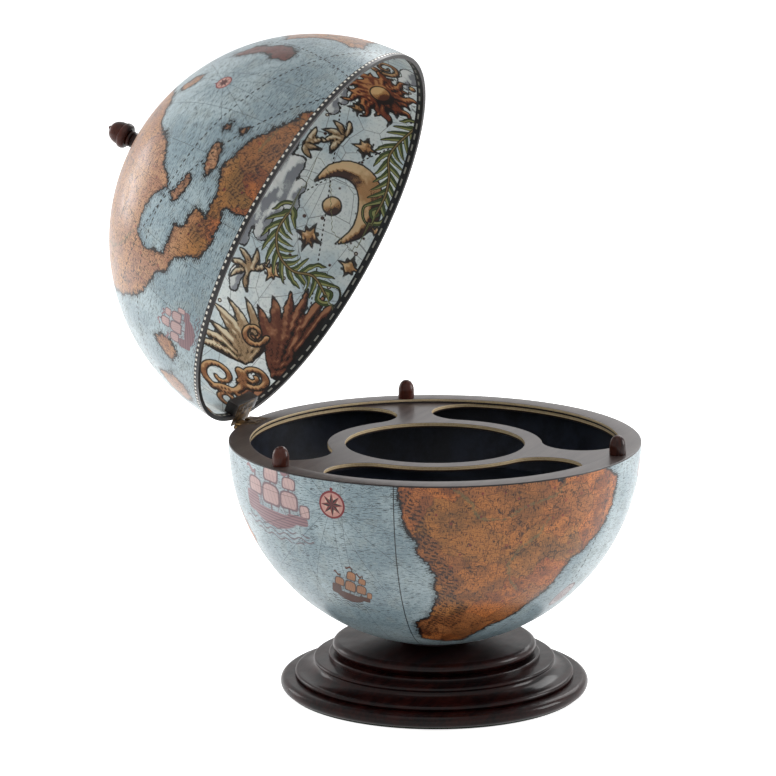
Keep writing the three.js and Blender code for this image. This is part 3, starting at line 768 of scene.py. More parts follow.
lidLands = {
    "main": [(233, -3), (231, 2.5), (225.7, 5), (219, 9.3), (215.7, 11.6), (206.8, 15.3), (200.5, 12.5),
             (197.7, 11.9), (196, 12.6), (190.4, 11.8), (191.2, 16), (184.3, 17.6), (184.5, 20.7),
             (180.7, 20.5), (178.8, 20.6), (174.6, 21.3), (171.7, 28), (174, 33.4), (181, 35.3),
             (188.1, 32.9), (192.6, 28.6), (197.7, 34.2), (205.4, 39.5), (212, 48.5), (221, 50.6), (234, 57),
             (240, 62), (236, 72), (150, 74), (110, 62), (122, 52), (133, 46), (139, 41), (149, 31.7),
             (159, 24), (167, 21.4), (171.5, 17.5), (176, 16.5), (179.5, 12), (180, 9), (183.2, 7.8),
             (187.8, 7.2), (191.5, 7.5), (195, 9.2), (196.2, 8), (195.7, 4.1), (197, -3)],
    "isleOne": [(201, 18.5), (204, 20.5), (208, 21.6), (211.5, 20.6), (209, 18), (205, 17.2)],
    "isleTwo": [(189.6, 25), (192, 26.6), (196, 25), (199.8, 24), (199, 22), (194, 22.8), (190.5, 23.4)],
    "isleThree": [(214.6, 21), (216.5, 22), (218.6, 20), (216.5, 19)],
    "isleFour": [(215, 15.6), (217.4, 16.8), (219.3, 14.6), (217, 14)],
    "redIsle": [(251, 41), (255.5, 36), (255, 30), (256, 26), (254, 21.5), (250, 19.6), (246, 20.5),
                (246.5, 25), (250, 29), (249, 35), (249.5, 40)],
    "northIsle": [(230, 50), (234, 52), (238, 48), (238.5, 44.5), (235, 44), (231, 46.5)],
    "topLand": [(262, 29), (266, 22), (266.5, 16), (264, 10), (266, 6), (270, 8), (290, 11), (300, 20),
                (295, 33), (274, 34)],
    "paleIsle": [(143, 9), (147, 8), (151, 10.5), (151, 14.5), (147, 16), (143.5, 13)],
    "leftIsle": [(128, 3), (134, 5), (136, 10), (131, 15), (124, 12), (123, 6)],
    "oldLand": [(20, -3), (15, 8), (8, 16), (14, 24), (24, 27), (28, 33), (22, 42), (30, 52), (45, 60),
                (70, 62), (92, 55), (100, 44), (97, 34), (104, 27), (98, 20), (92, 12), (86, 17), (80, 9),
                (76, 16), (69, 12), (66, 5), (70, -3)],
    "coldIsle": [(318, 46), (326, 42), (334, 46), (336, 54), (328, 60), (318, 55)],
}
lidRidges = [
    [(184, 14), (189, 10.5), (195, 10)],
    [(202, 8), (208, 7), (216, 4)],
    [(40, 30), (55, 38), (75, 40)],
]
lidRivers = [
    [(184, 30), (172, 36), (160, 42), (150, 52)],
    [(214, 8), (222, 7), (228, 3)],
    [(40, 48), (50, 40), (60, 20)],
]
# hull, sails and lines
shipTones = {
    "brown": (tone(84, 44, 30), tone(168, 118, 82), tone(26, 16, 14)),
    "faded": (tone(142, 112, 116), tone(192, 164, 160), tone(104, 84, 90)),
}
# kinds with longitude, latitude and turn in degrees, then a ship's scale or a size in mm
bowlMarks = [
    ("meridian", (-168,)),
    ("circle", ((258.6, -2), (257.2, -32))),
    ("ship", (151, -11.8, -5, (2.9, 1.95), *shipTones["faded"])),
    ("rose", (174.2, -6.9, 0, 13.4)),
    ("ship", (173.4, -36, -20, (1.25, 1.4), *shipTones["brown"])),
    ("oval", (257.7, -41.6, 68, (17, 11))),
    ("ship", (345, -24, 0, (1.5, 1.5), *shipTones["brown"])),
    ("rose", (95, -16, 12, 14.0)),
    ("oval", (286, -6, 0, (16, 10))),
]
lidMarks = [
    ("circle", ((216.5, 25), (258, 8.5))),
    ("circle", ((257, 26), (248, 0.5))),
    ("circle", ((60, 0), (100, 24))),
    ("ship", (340, 14, 6, (1.5, 1.5), *shipTones["brown"])),
    ("rose", (320, 22, 0, 14.0)),
    ("ship", (157, 6.5, 8, (1.35, 1.3), *shipTones["faded"])),
    ("rose", (232, 33, 10, 8.5)),
]


def moved(lon, lat, reach, angle):
    # the place that far off in that direction, all in degrees
    return lon + reach * cos(radians(angle)) / cos(radians(lat)), lat + reach * sin(radians(angle))


def scroll(lon, lat, reach, turns, start, thick, steps=18):
    # a spiral stroke that grows thinner to its middle
    shares = [i / steps for i in range(steps + 1)]
    return [(*moved(lon, lat, reach * (1 - 0.82 * share), start + turns * 360 * share),
             thick * (1 - 0.5 * share)) for share in shares]


def sunRays(lon, lat, reach, count, core):
    # a disc with wavy rays, every other one shorter
    bends = ((0.35, 0, core * 0.34), (0.6, 6, core * 0.22), (0.8, -3, core * 0.13), (1, 5, 0.4))
    strokes = [[(lon, lat, core)]]
    for i in range(count):
        angle, long = 360 * i / count, reach * (1 if i % 2 else 0.78)
        strokes.append([(*moved(lon, lat, long * share, angle + bend), size) for share, bend, size in bends])
    return strokes


def leaf(start, end, wide, bend=1.0):
    across = ((start[1] - end[1]) * 0.12 * bend, (end[0] - start[0]) * 0.12 * bend)
    middle = [a * 0.55 + b * 0.45 + c for a, b, c in zip(start, end, across)]
    outer = [a * 0.2 + b * 0.8 + c * 0.6 for a, b, c in zip(start, end, across)]
    return [(*start, wide * 0.35), (*middle, wide), (*outer, wide * 0.55), (*end, 0.2)]


def spray(lon, lat, reach, angles, wide):
    return [leaf((lon, lat), moved(lon, lat, reach, angle), wide) for angle in angles]


def starPoints(lon, lat, reach, thick):
    # four crossing points, the slanting ones shorter
    short = reach * sqrt(0.5)
    return [[(*moved(lon, lat, -long, angle), 0.1), (lon, lat, thick), (*moved(lon, lat, long, angle), 0.1)]
            for angle, long in ((0, reach), (90, reach), (45, short), (-45, short))]


def puffs(*places):
    return [[(lon - wide, lat, size * 0.8), (lon, lat + wide * 0.35, size), (lon + wide, lat, size * 0.8)]
            for lon, lat, wide, size in places]


# sizes in mm, stems in degrees
laurel = {
    "spacing": 11.0, "reach": 17.0, "half": 4.4, "stagger": 2.5,
    "stems": [
        [(-27, 2.5), (-20, 6), (-14, 7.5), (-8, 5.5), (-2, 4.6), (4, 5)],
        [(17, 29), (24, 29), (30, 25), (32, 19), (30, 13), (33, 7)],
        [(100, 34), (112, 38), (126, 38), (140, 33)],
    ],
}
# longitude, latitude, reach in degrees, radius in mm
skyStars = [
    (20, 20, 5, 3), (-14, 15, 4.5, 3), (22, 5, 4, 2.6), (36, 24, 3.5, 2.4), (-28, 20, 3.5, 2.4),
    (9, 2.8, 1.5, 2), (108, 24, 4.5, 3), (140, 24, 4, 2.8), (-75, 20, 4.5, 3), (-128, 22, 4.5, 3),
    (-140, 30, 4, 2.6),
]
# longitude, latitude, reach, turns, start angle, radius in mm
skyScrolls = [
    (80, 15, 8, 1.5, 200, 5), (71, 8, 5, -1.5, 20, 4.5), (87, 7, 6, 1.5, 90, 4.5),
    (57, 17, 4, 1.4, 250, 3.6), (-52, 12, 4.5, -1.4, 60, 3.4), (112, 9, 7, 1.5, 160, 4.6),
    (-160, 12, 7, -1.5, 40, 4.6), (-148, 8, 5, 1.5, 100, 4),
]
# from, to, widest radius in mm, bend
drapeFolds = [
    ((66, 2), (33, 3), 9, -0.5), ((66, 3), (32, 7), 9, -0.3), ((66, 4), (34, 12), 9.5, -0.2),
    ((65, 4), (38, 16), 9.5, 0.2), ((64, 5), (42, 20), 9, 0.4), ((64, 6), (48, 22), 8, 0.6),
    ((62, 3), (44, 8), 8, 0.2), ((90, 2), (68, 5), 8, 0.6), ((90, 4), (72, 9), 7, 0.8),
    ((56, 8), (40, 11), 8, 1.2),
]
# longitude, latitude, reach, directions, widest radius in mm
leafSprays = [
    (68, 13, 17, (62, 80, 98, 116, 134, 150, 164), 6.5), (66, 12, 22, (108, 124, 140), 6),
    (40, 30, 7, (30, 75, 120, 165, 210, 330), 3.6), (-15, 22, 7, (20, 60, 100, 140, 180), 3.6),
    (-10, 33, 6, (200, 240, 280, 320), 3.2),
]
# longitude, latitude, half width in degrees, radius in mm
cloudPuffs = [
    (5, 33, 6, 13), (16, 36, 6, 14), (-3, 37, 5, 12), (22, 33, 5, 10), (10, 29, 4, 9), (27, 38, 5, 12),
    (6, 39, 6, 13), (-28, 27, 3, 8), (-33, 25, 3, 7), (44, 31, 4, 8), (-52, 4, 3, 9), (-47, 6, 2, 7),
    (150, 14, 5, 12), (158, 17, 4, 11), (143, 17, 4, 10), (-100, 30, 6, 12), (-92, 34, 5, 12),
    (-110, 33, 5, 10),
]
# drawn in this order, each over the one before
skyMotifs = [
    {"name": "cloud", "fill": tone(222, 224, 222), "shade": tone(140, 142, 148), "light": tone(246, 246, 243),
     "ragged": 1.2, "folds": 1.0, "strokes": puffs(*cloudPuffs)},
    {"name": "leaves", "fill": tone(168, 138, 104), "shade": tone(36, 22, 18), "light": tone(224, 208, 178),
     "ragged": 0.5, "folds": 1.6, "strokes": [stroke for values in leafSprays for stroke in spray(*values)]},
    {"name": "drape", "fill": tone(104, 58, 42), "shade": tone(14, 8, 8), "light": tone(172, 118, 86),
     "ragged": 0.8, "folds": 2.0, "strokes": [leaf(*values) for values in drapeFolds]},
    {"name": "scrolls", "fill": tone(150, 100, 66), "shade": tone(40, 22, 18), "light": tone(208, 166, 118),
     "ragged": 0.25, "folds": 1.2, "strokes": [scroll(*values) for values in skyScrolls]},
    {"name": "moon", "fill": tone(184, 136, 90), "shade": tone(60, 34, 26), "light": tone(228, 194, 148),
     "ragged": 0.3, "folds": 1.6,
     "strokes": [
         [(3, 26, 0.6), (-3, 22, 7), (-5, 16, 11), (-2, 10, 13), (5, 7, 12), (12, 8, 7), (18, 12, 0.6)],
         [(8, 18, 10)], *[ray for star in skyStars for ray in starPoints(*star)]]},
    {"name": "sun", "fill": tone(124, 60, 38), "shade": tone(24, 11, 10), "light": tone(200, 136, 86),
     "ragged": 0.4, "folds": 2.0,
     "strokes": [*sunRays(-37, 14, 13, 18, 20), [(-98, 13, 16), (-84, 17, 9), (-72, 22, 3), (-62, 26, 0.6)],
                 [(-98, 13, 13), (-85, 12, 6), (-74, 13, 0.6)]]},
    {"name": "sunCore", "fill": tone(190, 134, 82), "shade": tone(92, 46, 30), "light": tone(230, 188, 130),
     "ragged": 0.15, "folds": 1.2,
     "strokes": [
         [(-37, 14, 11)], [(-45, 4, 4)], [(128, 16, 13)], [(115, 11, 1.2), (128, 16, 2.6), (141, 21, 1.2)],
         [(-98, 13, 12)], [(-108, 7, 5)]]},
]
print("chart drawn up")

finishes = {
    "bowlMap": chartFinish("bowlMap", False, bowlMarks),
    "lidMap": chartFinish("lidMap", True, lidMarks),
    "sky": skyFinish(),
    "bowlLining": liningFinish("bowlLining", tone(14, 17, 26), tone(32, 38, 52), 0.45),
    "shellEdge": liningFinish("shellEdge", tone(22, 20, 20), tone(46, 42, 42), 0.5),
    "mahogany": woodFinish("mahoganyLacquer", tone(7, 4, 5), tone(40, 14, 11), (1, 8, 8), pores=0.4,
                           rough=(0.3, 0.4), coat=0.16, coatRough=0.06, shine=0.06),
    "walnut": woodFinish("turnedWalnut", tone(24, 10, 8), tone(72, 34, 25), (7, 7, 1), pores=0.5,
                         rough=(0.3, 0.42), coat=0.18, coatRough=0.12, shine=0.1),
    "ply": boardFinish(),
    "darkBoard": liningFinish("darkBoard", tone(12, 14, 20), tone(30, 34, 44), 0.35),
    "blackWood": woodFinish("blackenedWood", tone(14, 11, 11), tone(34, 26, 24), (1, 8, 8), pores=0.4,
                            rough=(0.4, 0.55), coat=0.3),
    "pine": woodFinish("rawPine", tone(150, 116, 76), tone(196, 162, 116), (1, 10, 10), pores=0.2,
                       rough=(0.6, 0.8), coat=0.0),
    "brass": metalFinish("agedBrass", tone(58, 46, 34), tone(126, 100, 66), 0.34, (300, 300, 300)),
    "steel": metalFinish("zincSteel", tone(120, 120, 124), tone(168, 168, 170), 0.3, (40, 40, 400)),
    "felt": feltFinish(),
}
print("finishes made:", len(finishes))

# Bowl and lid shells

# how far below the middle the bowl starts, and the steps from edge to pole, outside and inside
shells = {"bowlStart": globe["ringDepth"] + 0.05, "bowlSteps": (140, 24), "lidSteps": (104, 104)}
bowlForm = shellForm(-1, shells["bowlStart"], globe["boltHole"], *shells["bowlSteps"], around["bowl"])
setFinishIndex(bowlForm)
bowlPlaces, bowlLon, bowlLat = chartPlaces(bowlForm)
bowlFinishes = [finishes["bowlMap"], finishes["bowlLining"], finishes["shellEdge"]]
bowl = makePiece("mapBowl", bowlForm, "stand", bowlFinishes, ["bowl_shell"])

lidForm = shellForm(1, globe["lidGap"], globe["finialHole"], *shells["lidSteps"], around["lid"])
setFinishIndex(lidForm)
lidPlaces, lidLon, lidLat = chartPlaces(lidForm)
lidFinishes = [finishes["lidMap"], finishes["sky"], finishes["shellEdge"]]
lid = makePiece("mapLid", lidForm, "lid", lidFinishes, ["lid_shell"], place=openLid)


def storeChart(mesh, places, lon, lat, lands, rivers, ridges, tints, tanFrom):
    directions = mesh.attributes.new("chart", "FLOAT_VECTOR", "POINT")
    directions.data.foreach_set("vector", places.astype(np.float32).ravel())
    distances = {name: edgeDistance(lon, lat, outline) for name, outline in lands.items()}
    coast = np.maximum.reduce(list(distances.values()))
    tint = np.clip((lat - tanFrom[0]) / (tanFrom[1] - tanFrom[0]), 0, 1)
    for name, value in tints.items():
        tint = np.where(distances[name] >= coast - tieMm, value, tint)
    storeValues(mesh, "coast", np.clip(coast, -storedReach, storedReach))
    storeValues(mesh, "tint", tint)
    for name, lines in (("ridge", ridges), ("river", rivers)):
        away = [edgeDistance(lon, lat, line, False) for line in lines]
        storeValues(mesh, name, np.minimum.reduce(away))


# lands, rivers, ridges, how far each land is tinted, and the latitudes between which all land turns tan
bowlChart = (bowlLands, bowlRivers, bowlRidges, {"farIsle": 1}, (200, 201))
lidTints = {"paleIsle": 1, "topLand": 0.6, "redIsle": 2, "leftIsle": 1}
lidChart = (lidLands, lidRivers, lidRidges, lidTints, (11, 20))
storeChart(bowl.data, bowlPlaces, bowlLon, bowlLat, *bowlChart)
storeChart(lid.data, lidPlaces, lidLon, lidLat, *lidChart)

# degrees towards the light, and how many mm less there is a fully lit slope
relief = {"shift": 0.4, "litSlope": 1.7}
skyLon = (lidLon + 180) % 360 - 180
for motif in skyMotifs:
    strokes = [smoothStroke(stroke) for stroke in motif["strokes"]]
    here, towardsLight = (
        np.maximum.reduce([strokeDistance(skyLon - shift, lidLat + shift, stroke) for stroke in strokes])
        for shift in (0, relief["shift"]))
    lit = np.clip((here - towardsLight) / relief["litSlope"], -1, 1)
    storeValues(lid.data, motif["name"], np.clip(here, -storedReach, storedReach))
    storeValues(lid.data, motif["name"] + "Lit", lit)
stems = [smoothStroke([(*point, 0) for point in stem]) for stem in laurel["stems"]]
stemAlong, stemAcross = stemPlaces(skyLon, lidLat, stems)
storeValues(lid.data, "stemAlong", stemAlong)
storeValues(lid.data, "stemAcross", stemAcross)
print("shells made:", len(bowl.data.polygons), len(lid.data.polygons), "faces")

# Turned base

base = {
    "bolt": 4.3, "counterbore": 14.0, "counterTop": 9.6, "feltTop": 2.0, "plinthTop": 14.6,
    "plinthFlat": 144.5, "plinthNose": 6.0, "mouldTop": 32.8, "beadAt": 133.6, "bead": 2.8,
    "lipAt": 116.0, "lip": 2.2, "stepReach": 103.3, "stepTop": 37.5, "stepRound": 1.6, "noseAt": 93.3,
    "nose": 6.2, "top": 50.0, "seatReach": 31.6, "seatRim": (31.3, 52.1), "seatFoot": 49.7,
}
feltRound = 0.6


def baseOutlines(bolt, counterbore, counterTop, feltTop, plinthTop, plinthFlat, plinthNose, mouldTop,
                 beadAt, bead, lipAt, lip, stepReach, stepTop, stepRound, noseAt, nose, top, seatReach,
                 seatRim, seatFoot):
    # plinth, moulding and collar from the floor up
    beadTop, lipBottom = plinthTop + 2 * bead, mouldTop - 2 * lip
    cove = beadAt - lipAt - bead
    plinth = ([(bolt, counterTop), (counterbore, counterTop), (counterbore, feltTop)]
              + nosing(plinthFlat, feltTop, plinthTop, plinthNose, -90, 90, 28) + [(bolt, plinthTop)])
    moulding = ([(bolt, plinthTop)] + nosing(beadAt, plinthTop, beadTop, bead, -90, 90, 16)
                + arcPoints(lipAt + cove, lipBottom, cove, lipBottom - beadTop, 270, 184, 24)
                + nosing(lipAt, lipBottom, mouldTop, lip, -70, 90, 14) + [(bolt, mouldTop)])
    collar = ([(bolt, mouldTop), (stepReach, mouldTop)]
              + rounding(stepReach - stepRound, stepTop - stepRound, stepRound, 0, 90, 10)
              + [(noseAt + stepRound, stepTop)]
              + nosing(noseAt, stepTop + stepRound, top, nose, -62, 90, 28)
              + [(seatReach, top), seatRim, (bolt, seatFoot)])
    return plinth, moulding, collar


feltEdge = rounding(base["plinthFlat"] - feltRound, feltRound, feltRound, -90, 0, 4)
feltOutline = [(0, 0)] + feltEdge + [(base["plinthFlat"], base["feltTop"]), (0, base["feltTop"])]
feltForm = spinOutline(feltOutline, around["base"], False)
makePiece("feltFoot", feltForm, "stand", [finishes["felt"]], ["felt_pad"])
for part, outline in zip(("Plinth", "Moulding", "Collar"), baseOutlines(**base)):
    form = spinOutline(outline, around["base"])
    makePiece(f"base{part}", form, "stand", [finishes["mahogany"]], [f"base_{part.lower()}"])
print("base made")

# Boards in the bowl

boards = {"gap": 0.5, "well": 87.0, "thick": 6.0, "round": 0.8, "shelfTop": 181.0, "floorTop": 124.0}


def wallRadius(height):
    wall = globe["radius"] - globe["wall"]
    return sqrt(wall ** 2 - (globe["middle"] - height) ** 2) - boards["gap"]


def boardOutline(top, hole):
    bottom, soft = top - boards["thick"], boards["round"]
    inner = [(0, top), (0, bottom)]
    if hole:
        inner = (rounding(hole + soft, top - soft, soft, 90, 180, 5)
                 + rounding(hole + soft, bottom + soft, soft, 180, 270, 5))
    return inner + [(wallRadius(bottom), bottom), (wallRadius(top), top)]


for name, top, hole, replaced in (("glassShelf", boards["shelfTop"], boards["well"], "glass_shelf"),
                                  ("bottleFloor", boards["floorTop"], 0, "floor_board")):
    form = spinOutline(boardOutline(top, hole), around["boards"], bool(hole))
    makePiece(name, form, "stand", [finishes["darkBoard"]], [replaced])

# Rim ring and tray

tray = {"top": 246.0, "thick": 5.0, "reach": 195.3, "well": 87.0, "slotInner": 104.0, "slotOuter": 180.0,
        "spoke": 36.0, "turn": 2.0, "round": 0.6}
ring = {"inner": 179.0, "bottom": 246.0, "paper": 248.6, "top": 250.0, "round": 0.7, "leafHalf": 17.8,
        "leafInner": 183.2, "leafDepth": 1.8, "cutPast": (210, 260), "sideFrom": 199, "sideSlope": 0.2}
spokeAngles = [radians(tray["turn"] - 90 + 120 * i) for i in range(3)]


def cutBoxFrom(form, low, high):
    # takes a box out of a shape, the box given by two corners in mm
    cutter = bmesh.new()
    bmesh.ops.create_cube(cutter, size=1)
    bmesh.ops.scale(cutter, vec=[(b - a) * mm for a, b in zip(low, high)], verts=cutter.verts)
    bmesh.ops.translate(cutter, vec=[(a + b) / 2 * mm for a, b in zip(low, high)], verts=cutter.verts)
    pieces = []
    for shape in (form, cutter):
        mesh = bpy.data.meshes.new("cutWork")
        shape.to_mesh(mesh)
        shape.free()
        pieces.append(addObject("cutWork", mesh))
    cut = pieces[0].modifiers.new("cut", "BOOLEAN")
    cut.object, cut.operation, cut.solver = pieces[1], "DIFFERENCE", "EXACT"
    result = bmesh.new()
    result.from_object(pieces[0], bpy.context.evaluated_depsgraph_get())
    for piece in pieces:
        bpy.data.objects.remove(piece)
    return result


ringOuter = sqrt(globe["radius"] ** 2 - globe["ringDepth"] ** 2)
ringOutline = [(ring["inner"], ring["bottom"]), (ringOuter, ring["bottom"]), (globe["radius"], ring["paper"])]
for centreRadius, start in ((globe["radius"] - ring["round"], 0), (ring["inner"] + ring["round"], 90)):
    ringOutline += rounding(centreRadius, ring["top"] - ring["round"], ring["round"], start, start + 90, 5)
ringForm = cutBoxFrom(spinOutline(ringOutline, around["ring"]),
                      (-ring["leafHalf"], ring["leafInner"], ring["top"] - ring["leafDepth"]),
                      (ring["leafHalf"], *ring["cutPast"]))
for face in ringForm.faces:  # the map's paper runs on over the ring's side
    middle = face.calc_center_median()
    onSide = hypot(middle.x, middle.y) > ring["sideFrom"] * mm and abs(face.normal.z) < ring["sideSlope"]
    face.material_index = int(onSide and middle.z < ring["paper"] * mm)
ringPlaces, ringLon, ringLat = chartPlaces(ringForm)
ringFinishes = [finishes["ply"], finishes["bowlMap"]]
rimRing = makePiece("rimRing", ringForm, "stand", ringFinishes, ["rim_ring"], sharp=32)
storeChart(rimRing.data, ringPlaces, ringLon, ringLat, *bowlChart)


def flatArc(centre, radius, start, end, steps):
    angles = [start + (end - start) * i / steps for i in range(steps + 1)]
    return [(centre[0] + radius * cos(angle), centre[1] + radius * sin(angle)) for angle in angles]


def slotLoop(spokeAngle):
    # one slot with round ends, clockwise because it is a hole
    endRadius = (tray["slotOuter"] - tray["slotInner"]) / 2
    middle = (tray["slotOuter"] + tray["slotInner"]) / 2
    inset = asin((tray["spoke"] / 2 + endRadius) / middle)
    start, end = spokeAngle + inset, spokeAngle + tau / 3 - inset
    ends = [(middle * cos(a), middle * sin(a)) for a in (start, end)]
    loop = flatArc((0, 0), tray["slotOuter"], start, end, 60)
    loop += flatArc(ends[1], endRadius, end, end + pi, 36)[1:-1]
    loop += flatArc((0, 0), tray["slotInner"], end, start, 40)
    loop += flatArc(ends[0], endRadius, start + pi, start + tau, 36)[1:-1]
    return loop[::-1]


def trayForm():
    curve = bpy.data.curves.new("trayOutline", "CURVE")
    curve.dimensions, curve.fill_mode = "2D", "BOTH"
    curve.extrude = (tray["thick"] / 2 - tray["round"]) * mm
    curve.bevel_depth, curve.bevel_resolution, curve.offset = tray["round"] * mm, 2, -tray["round"] * mm
    loops = [flatArc((0, 0), tray["reach"], 0, tau, 320)[:-1],
             flatArc((0, 0), tray["well"], tau, 0, 220)[:-1]]
    loops += [slotLoop(angle) for angle in spokeAngles]
    for loop in loops:
        line = curve.splines.new("POLY")
        line.points.add(len(loop) - 1)
        for point, (x, y) in zip(line.points, loop):
            point.co = (x * mm, y * mm, 0, 1)
        line.use_cyclic_u = True
    outline = addObject("trayOutline", curve)
    flat = outline.evaluated_get(bpy.context.evaluated_depsgraph_get())
    form = bmesh.new()
    form.from_mesh(flat.to_mesh())
    flat.to_mesh_clear()
    bpy.data.objects.remove(outline)
    joinUp(form)
    bmesh.ops.translate(form, vec=(0, 0, (tray["top"] - tray["thick"] / 2) * mm), verts=form.verts)
    return form


trayBoard = makePiece("trayBoard", trayForm(), "stand", [finishes["ply"]], ["tray_plate"],
                      sharp=60)
weighted = trayBoard.modifiers.new("flatFaces", "WEIGHTED_NORMAL")
weighted.keep_sharp = True
print("tray made")

# Pegs and finial

peg = {
    "radius": 8.0, "tenon": 4.0, "foot": 241.0, "rim": 250.0, "shoulder": 8.0, "height": 18.7,
    "circle": 186.5, "edge": 0.5, "noseSteps": 24, "fullness": 0.85, "bluntness": 1.12,
}
pegNose = []
for i in range(peg["noseSteps"]):
    angle = radians(90 * i / peg["noseSteps"])
    rise = (peg["height"] - peg["shoulder"]) * sin(angle) ** peg["bluntness"]
    pegNose.append((peg["radius"] * cos(angle) ** peg["fullness"], peg["rim"] + peg["shoulder"] + rise))
pegOutline = ([(0, peg["foot"]), (peg["tenon"], peg["foot"]), (peg["tenon"], peg["rim"])]
              + rounding(peg["radius"] - peg["edge"], peg["rim"] + peg["edge"], peg["edge"], -90, 0, 4)
              + pegNose + [(0, peg["rim"] + peg["height"])])
for i, angle in enumerate(spokeAngles, 1):
    shift = Matrix.Translation((peg["circle"] * cos(angle) * mm, peg["circle"] * sin(angle) * mm, 0))
    form = spinOutline(pegOutline, around["peg"], False)
    makePiece(f"rimPeg{i}", form, "stand", [finishes["walnut"]], [f"peg_{i}"], place=shift)

finial = {
    "hole": 2.3, "holeTop": 466.3, "tenon": 5.0, "tenonEnd": 446.0, "foot": 450.2, "flange": 11.0,
    "footInset": 0.3, "flangeLow": 449.75, "flangeTop": 454.2, "flangeInset": 0.9, "flangeDrop": 1.6,
    "flangeRise": 1.2, "neck": 6.5, "neckTop": 466.2, "bead": 8.5, "beadTop": 470.2, "bulb": 13.0,
    "bulbDrop": 3.9, "bulbRise": 4.4, "ridge": 9.4, "ridgeInset": 1.5, "ridgeTop": 478.4,
    "coneEnd": 3.6, "coneInset": 0.6, "coneGap": 1, "coneTop": 491.2, "tip": 2.4, "tipHeight": 3.0,
}


def finialOutline(hole, holeTop, tenon, tenonEnd, foot, flange, footInset, flangeLow, flangeTop, flangeInset,
                  flangeDrop, flangeRise, neck, neckTop, bead, beadTop, bulb, bulbDrop, bulbRise, ridge,
                  ridgeInset, ridgeTop, coneEnd, coneInset, coneGap, coneTop, tip, tipHeight):
    # from the bored tenon up to the tip
    return [
        (0, holeTop), (hole, holeTop), (hole, tenonEnd), (tenon, tenonEnd), (tenon, foot),
        (flange - footInset, flangeLow),
        *arcPoints(flange - flangeInset, flangeTop - flangeDrop, flangeInset, flangeRise, -60, 80, 8),
        *nosing(flange, flangeTop, neckTop, flange - neck, -112, -228, 18),
        *nosing(neck, neckTop, beadTop, bead - neck, -80, 80, 12),
        *arcPoints(ridge, ridgeTop - bulbDrop, bulb - ridge, bulbRise, -84, 60, 18),
        (bulb - ridgeInset, ridgeTop),
        *arcPoints(coneEnd - coneInset, ridgeTop, bulb - coneEnd - coneGap, coneTop - ridgeTop, 6, 84, 16),
        *arcPoints(0, coneTop, tip, tipHeight, 6, 90, 8)[:-1],
        (0, coneTop + tipHeight)]


finialForm = spinOutline(finialOutline(**finial), around["finial"], False)
makePiece("lidFinial", finialForm, "lid", [finishes["walnut"]], ["finial"], place=openLid)
print("pegs and finial made")

# Hinge and its block, with softened edges

softEdges = {"leaf": 0.18, "block": 0.8, "flatTo": 1, "cornerFrom": 40}  # mm, mm, degrees, degrees


def softenNode(node, name, body, finish, width):
    form = bmesh.new()
    form.from_mesh(nodes[node].data)
    bmesh.ops.remove_doubles(form, verts=form.verts, dist=weld)
    flat, corner = radians(softEdges["flatTo"]), radians(softEdges["cornerFrom"])
    bmesh.ops.dissolve_limit(form, angle_limit=flat, verts=form.verts, edges=form.edges)
    edges = [edge for edge in form.edges if edge.is_manifold and edge.calc_face_angle() > corner]
    bmesh.ops.bevel(form, geom=edges, offset=width * mm, segments=2, profile=0.5, affect="EDGES",
                    clamp_overlap=True, material=-1)
    makePiece(name, form, body, [finish], [node], sharp=30)


softenNode("hinge_lower_leaf", "lowerLeaf", "stand", finishes["brass"], softEdges["leaf"])
softenNode("hinge_upper_leaf", "upperLeaf", "lid", finishes["brass"], softEdges["leaf"])
softenNode("hinge_block", "hingeBlock", "lid", finishes["blackWood"], softEdges["block"])

# Finishes of the pieces kept from the frame

slotFinish = {"raw_wood": "pine", "steel": "steel", "aged_brass": "brass"}
slots = {part["node"]: part["material_slot"] for part in frame["record"]["subparts"]}
for name, node in nodes.items():
    if not node.hide_render:
        node.data.materials.clear()
        node.data.materials.append(finishes[slotFinish[slots[name]]])
print("kept pieces finished")

# Floor, light and camera


def shownRays(tree):
    # 1 where the white surroundings are seen straight, in a reflection or through something clear
    return larger(*[read(tree, "ShaderNodeLightPath", output=f"Is {kind} Ray")
                    for kind in ("Camera", "Glossy", "Transmission")])


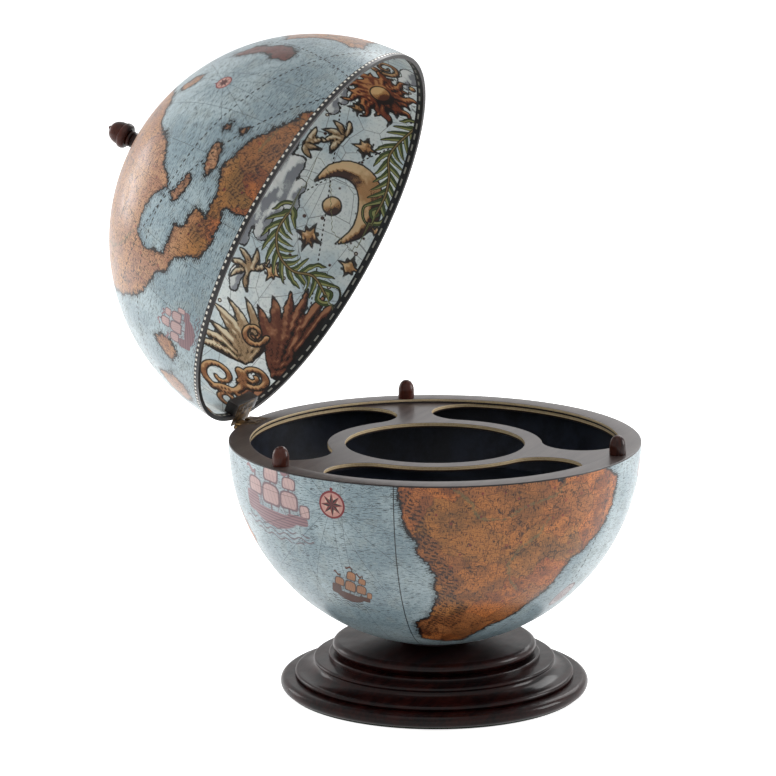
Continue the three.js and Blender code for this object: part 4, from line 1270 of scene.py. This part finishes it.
studio = {"floorReach": 9, "floorTone": (0.9, 0.9, 0.9, 1), "white": (1, 1, 1, 1), "floorGlow": 0.8,
          "fill": 0.4, "seen": 0.6}
floorForm = bmesh.new()
bmesh.ops.create_grid(floorForm, x_segments=1, y_segments=1, size=studio["floorReach"])
floorMesh = bpy.data.meshes.new("studioFloor")
floorForm.to_mesh(floorMesh)
floorForm.free()
floor = addObject("studioFloor", floorMesh)
floorMaterial, floorTree, floorShader = newFinish("paleFloor")
setSockets(floorShader, Base_Color=studio["floorTone"], Roughness=0.7, Emission_Color=studio["white"],
           Emission_Strength=shownRays(floorTree) * studio["floorGlow"])
floorMesh.materials.append(floorMaterial)

world = bpy.data.worlds.new("studioWorld")
bpy.context.scene.world = world
world.use_nodes = True
setSockets(world.node_tree.nodes["Background"], Color=studio["white"],
           Strength=shownRays(world.node_tree) * studio["seen"] + studio["fill"])

view = {
    "place": (-3.5513, -1.5093, 1.1303), "right": (0.40195, -0.91566, 0), "up": (0.19266, 0.08457, 0.97761),
    "back": (-0.89517, -0.39295, 0.21040), "lens": 189.48, "sensor": 36, "reach": 60, "aim": (0, 0.05, 0.32),
}
lamps = {  # right, towards the camera and up, in metres as the camera sees it
    "leftLamp": {"from": (-2.95, -0.4, 0.8), "size": 1.2, "power": 51, "mirrored": False},
    "leftEdgeLamp": {"from": (-2.4, -1.9, 0.5), "size": 1.0, "power": 14, "mirrored": True},
    "rightLamp": {"from": (2.95, -0.2, 0.7), "size": 1.2, "power": 51, "mirrored": True},
    "backLamp": {"from": (1.3, -2.3, 1.7), "size": 1.8, "power": 36, "mirrored": True},
    "topLamp": {"from": (-0.4, 1.6, 2.8), "size": 2.4, "power": 12, "mirrored": True},
}
right, up, back, aim = (Vector(view[key]) for key in ("right", "up", "back", "aim"))
flatBack = Vector((back.x, back.y, 0)).normalized()
for name, values in lamps.items():
    side, towards, height = values["from"]
    light = bpy.data.lights.new(name, "AREA")
    light.shape, light.size, light.energy = "SQUARE", values["size"], values["power"]
    lamp = addObject(name, light)
    lamp.location = aim + right * side + flatBack * towards + Vector((0, 0, height))
    lamp.visible_glossy = values["mirrored"]
    lamp.rotation_euler = (aim - lamp.location).to_track_quat("-Z", "Y").to_euler()

camera = addObject("photoCamera", bpy.data.cameras.new("photoCamera"))
camera.data.lens, camera.data.sensor_width = view["lens"], view["sensor"]
camera.data.clip_end = view["reach"]
camera.matrix_world = Matrix.Translation(view["place"]) @ Matrix((right, up, back)).transposed().to_4x4()
bpy.context.scene.camera = camera
bpy.context.scene.view_settings.view_transform = "Standard"
print("light and camera set")
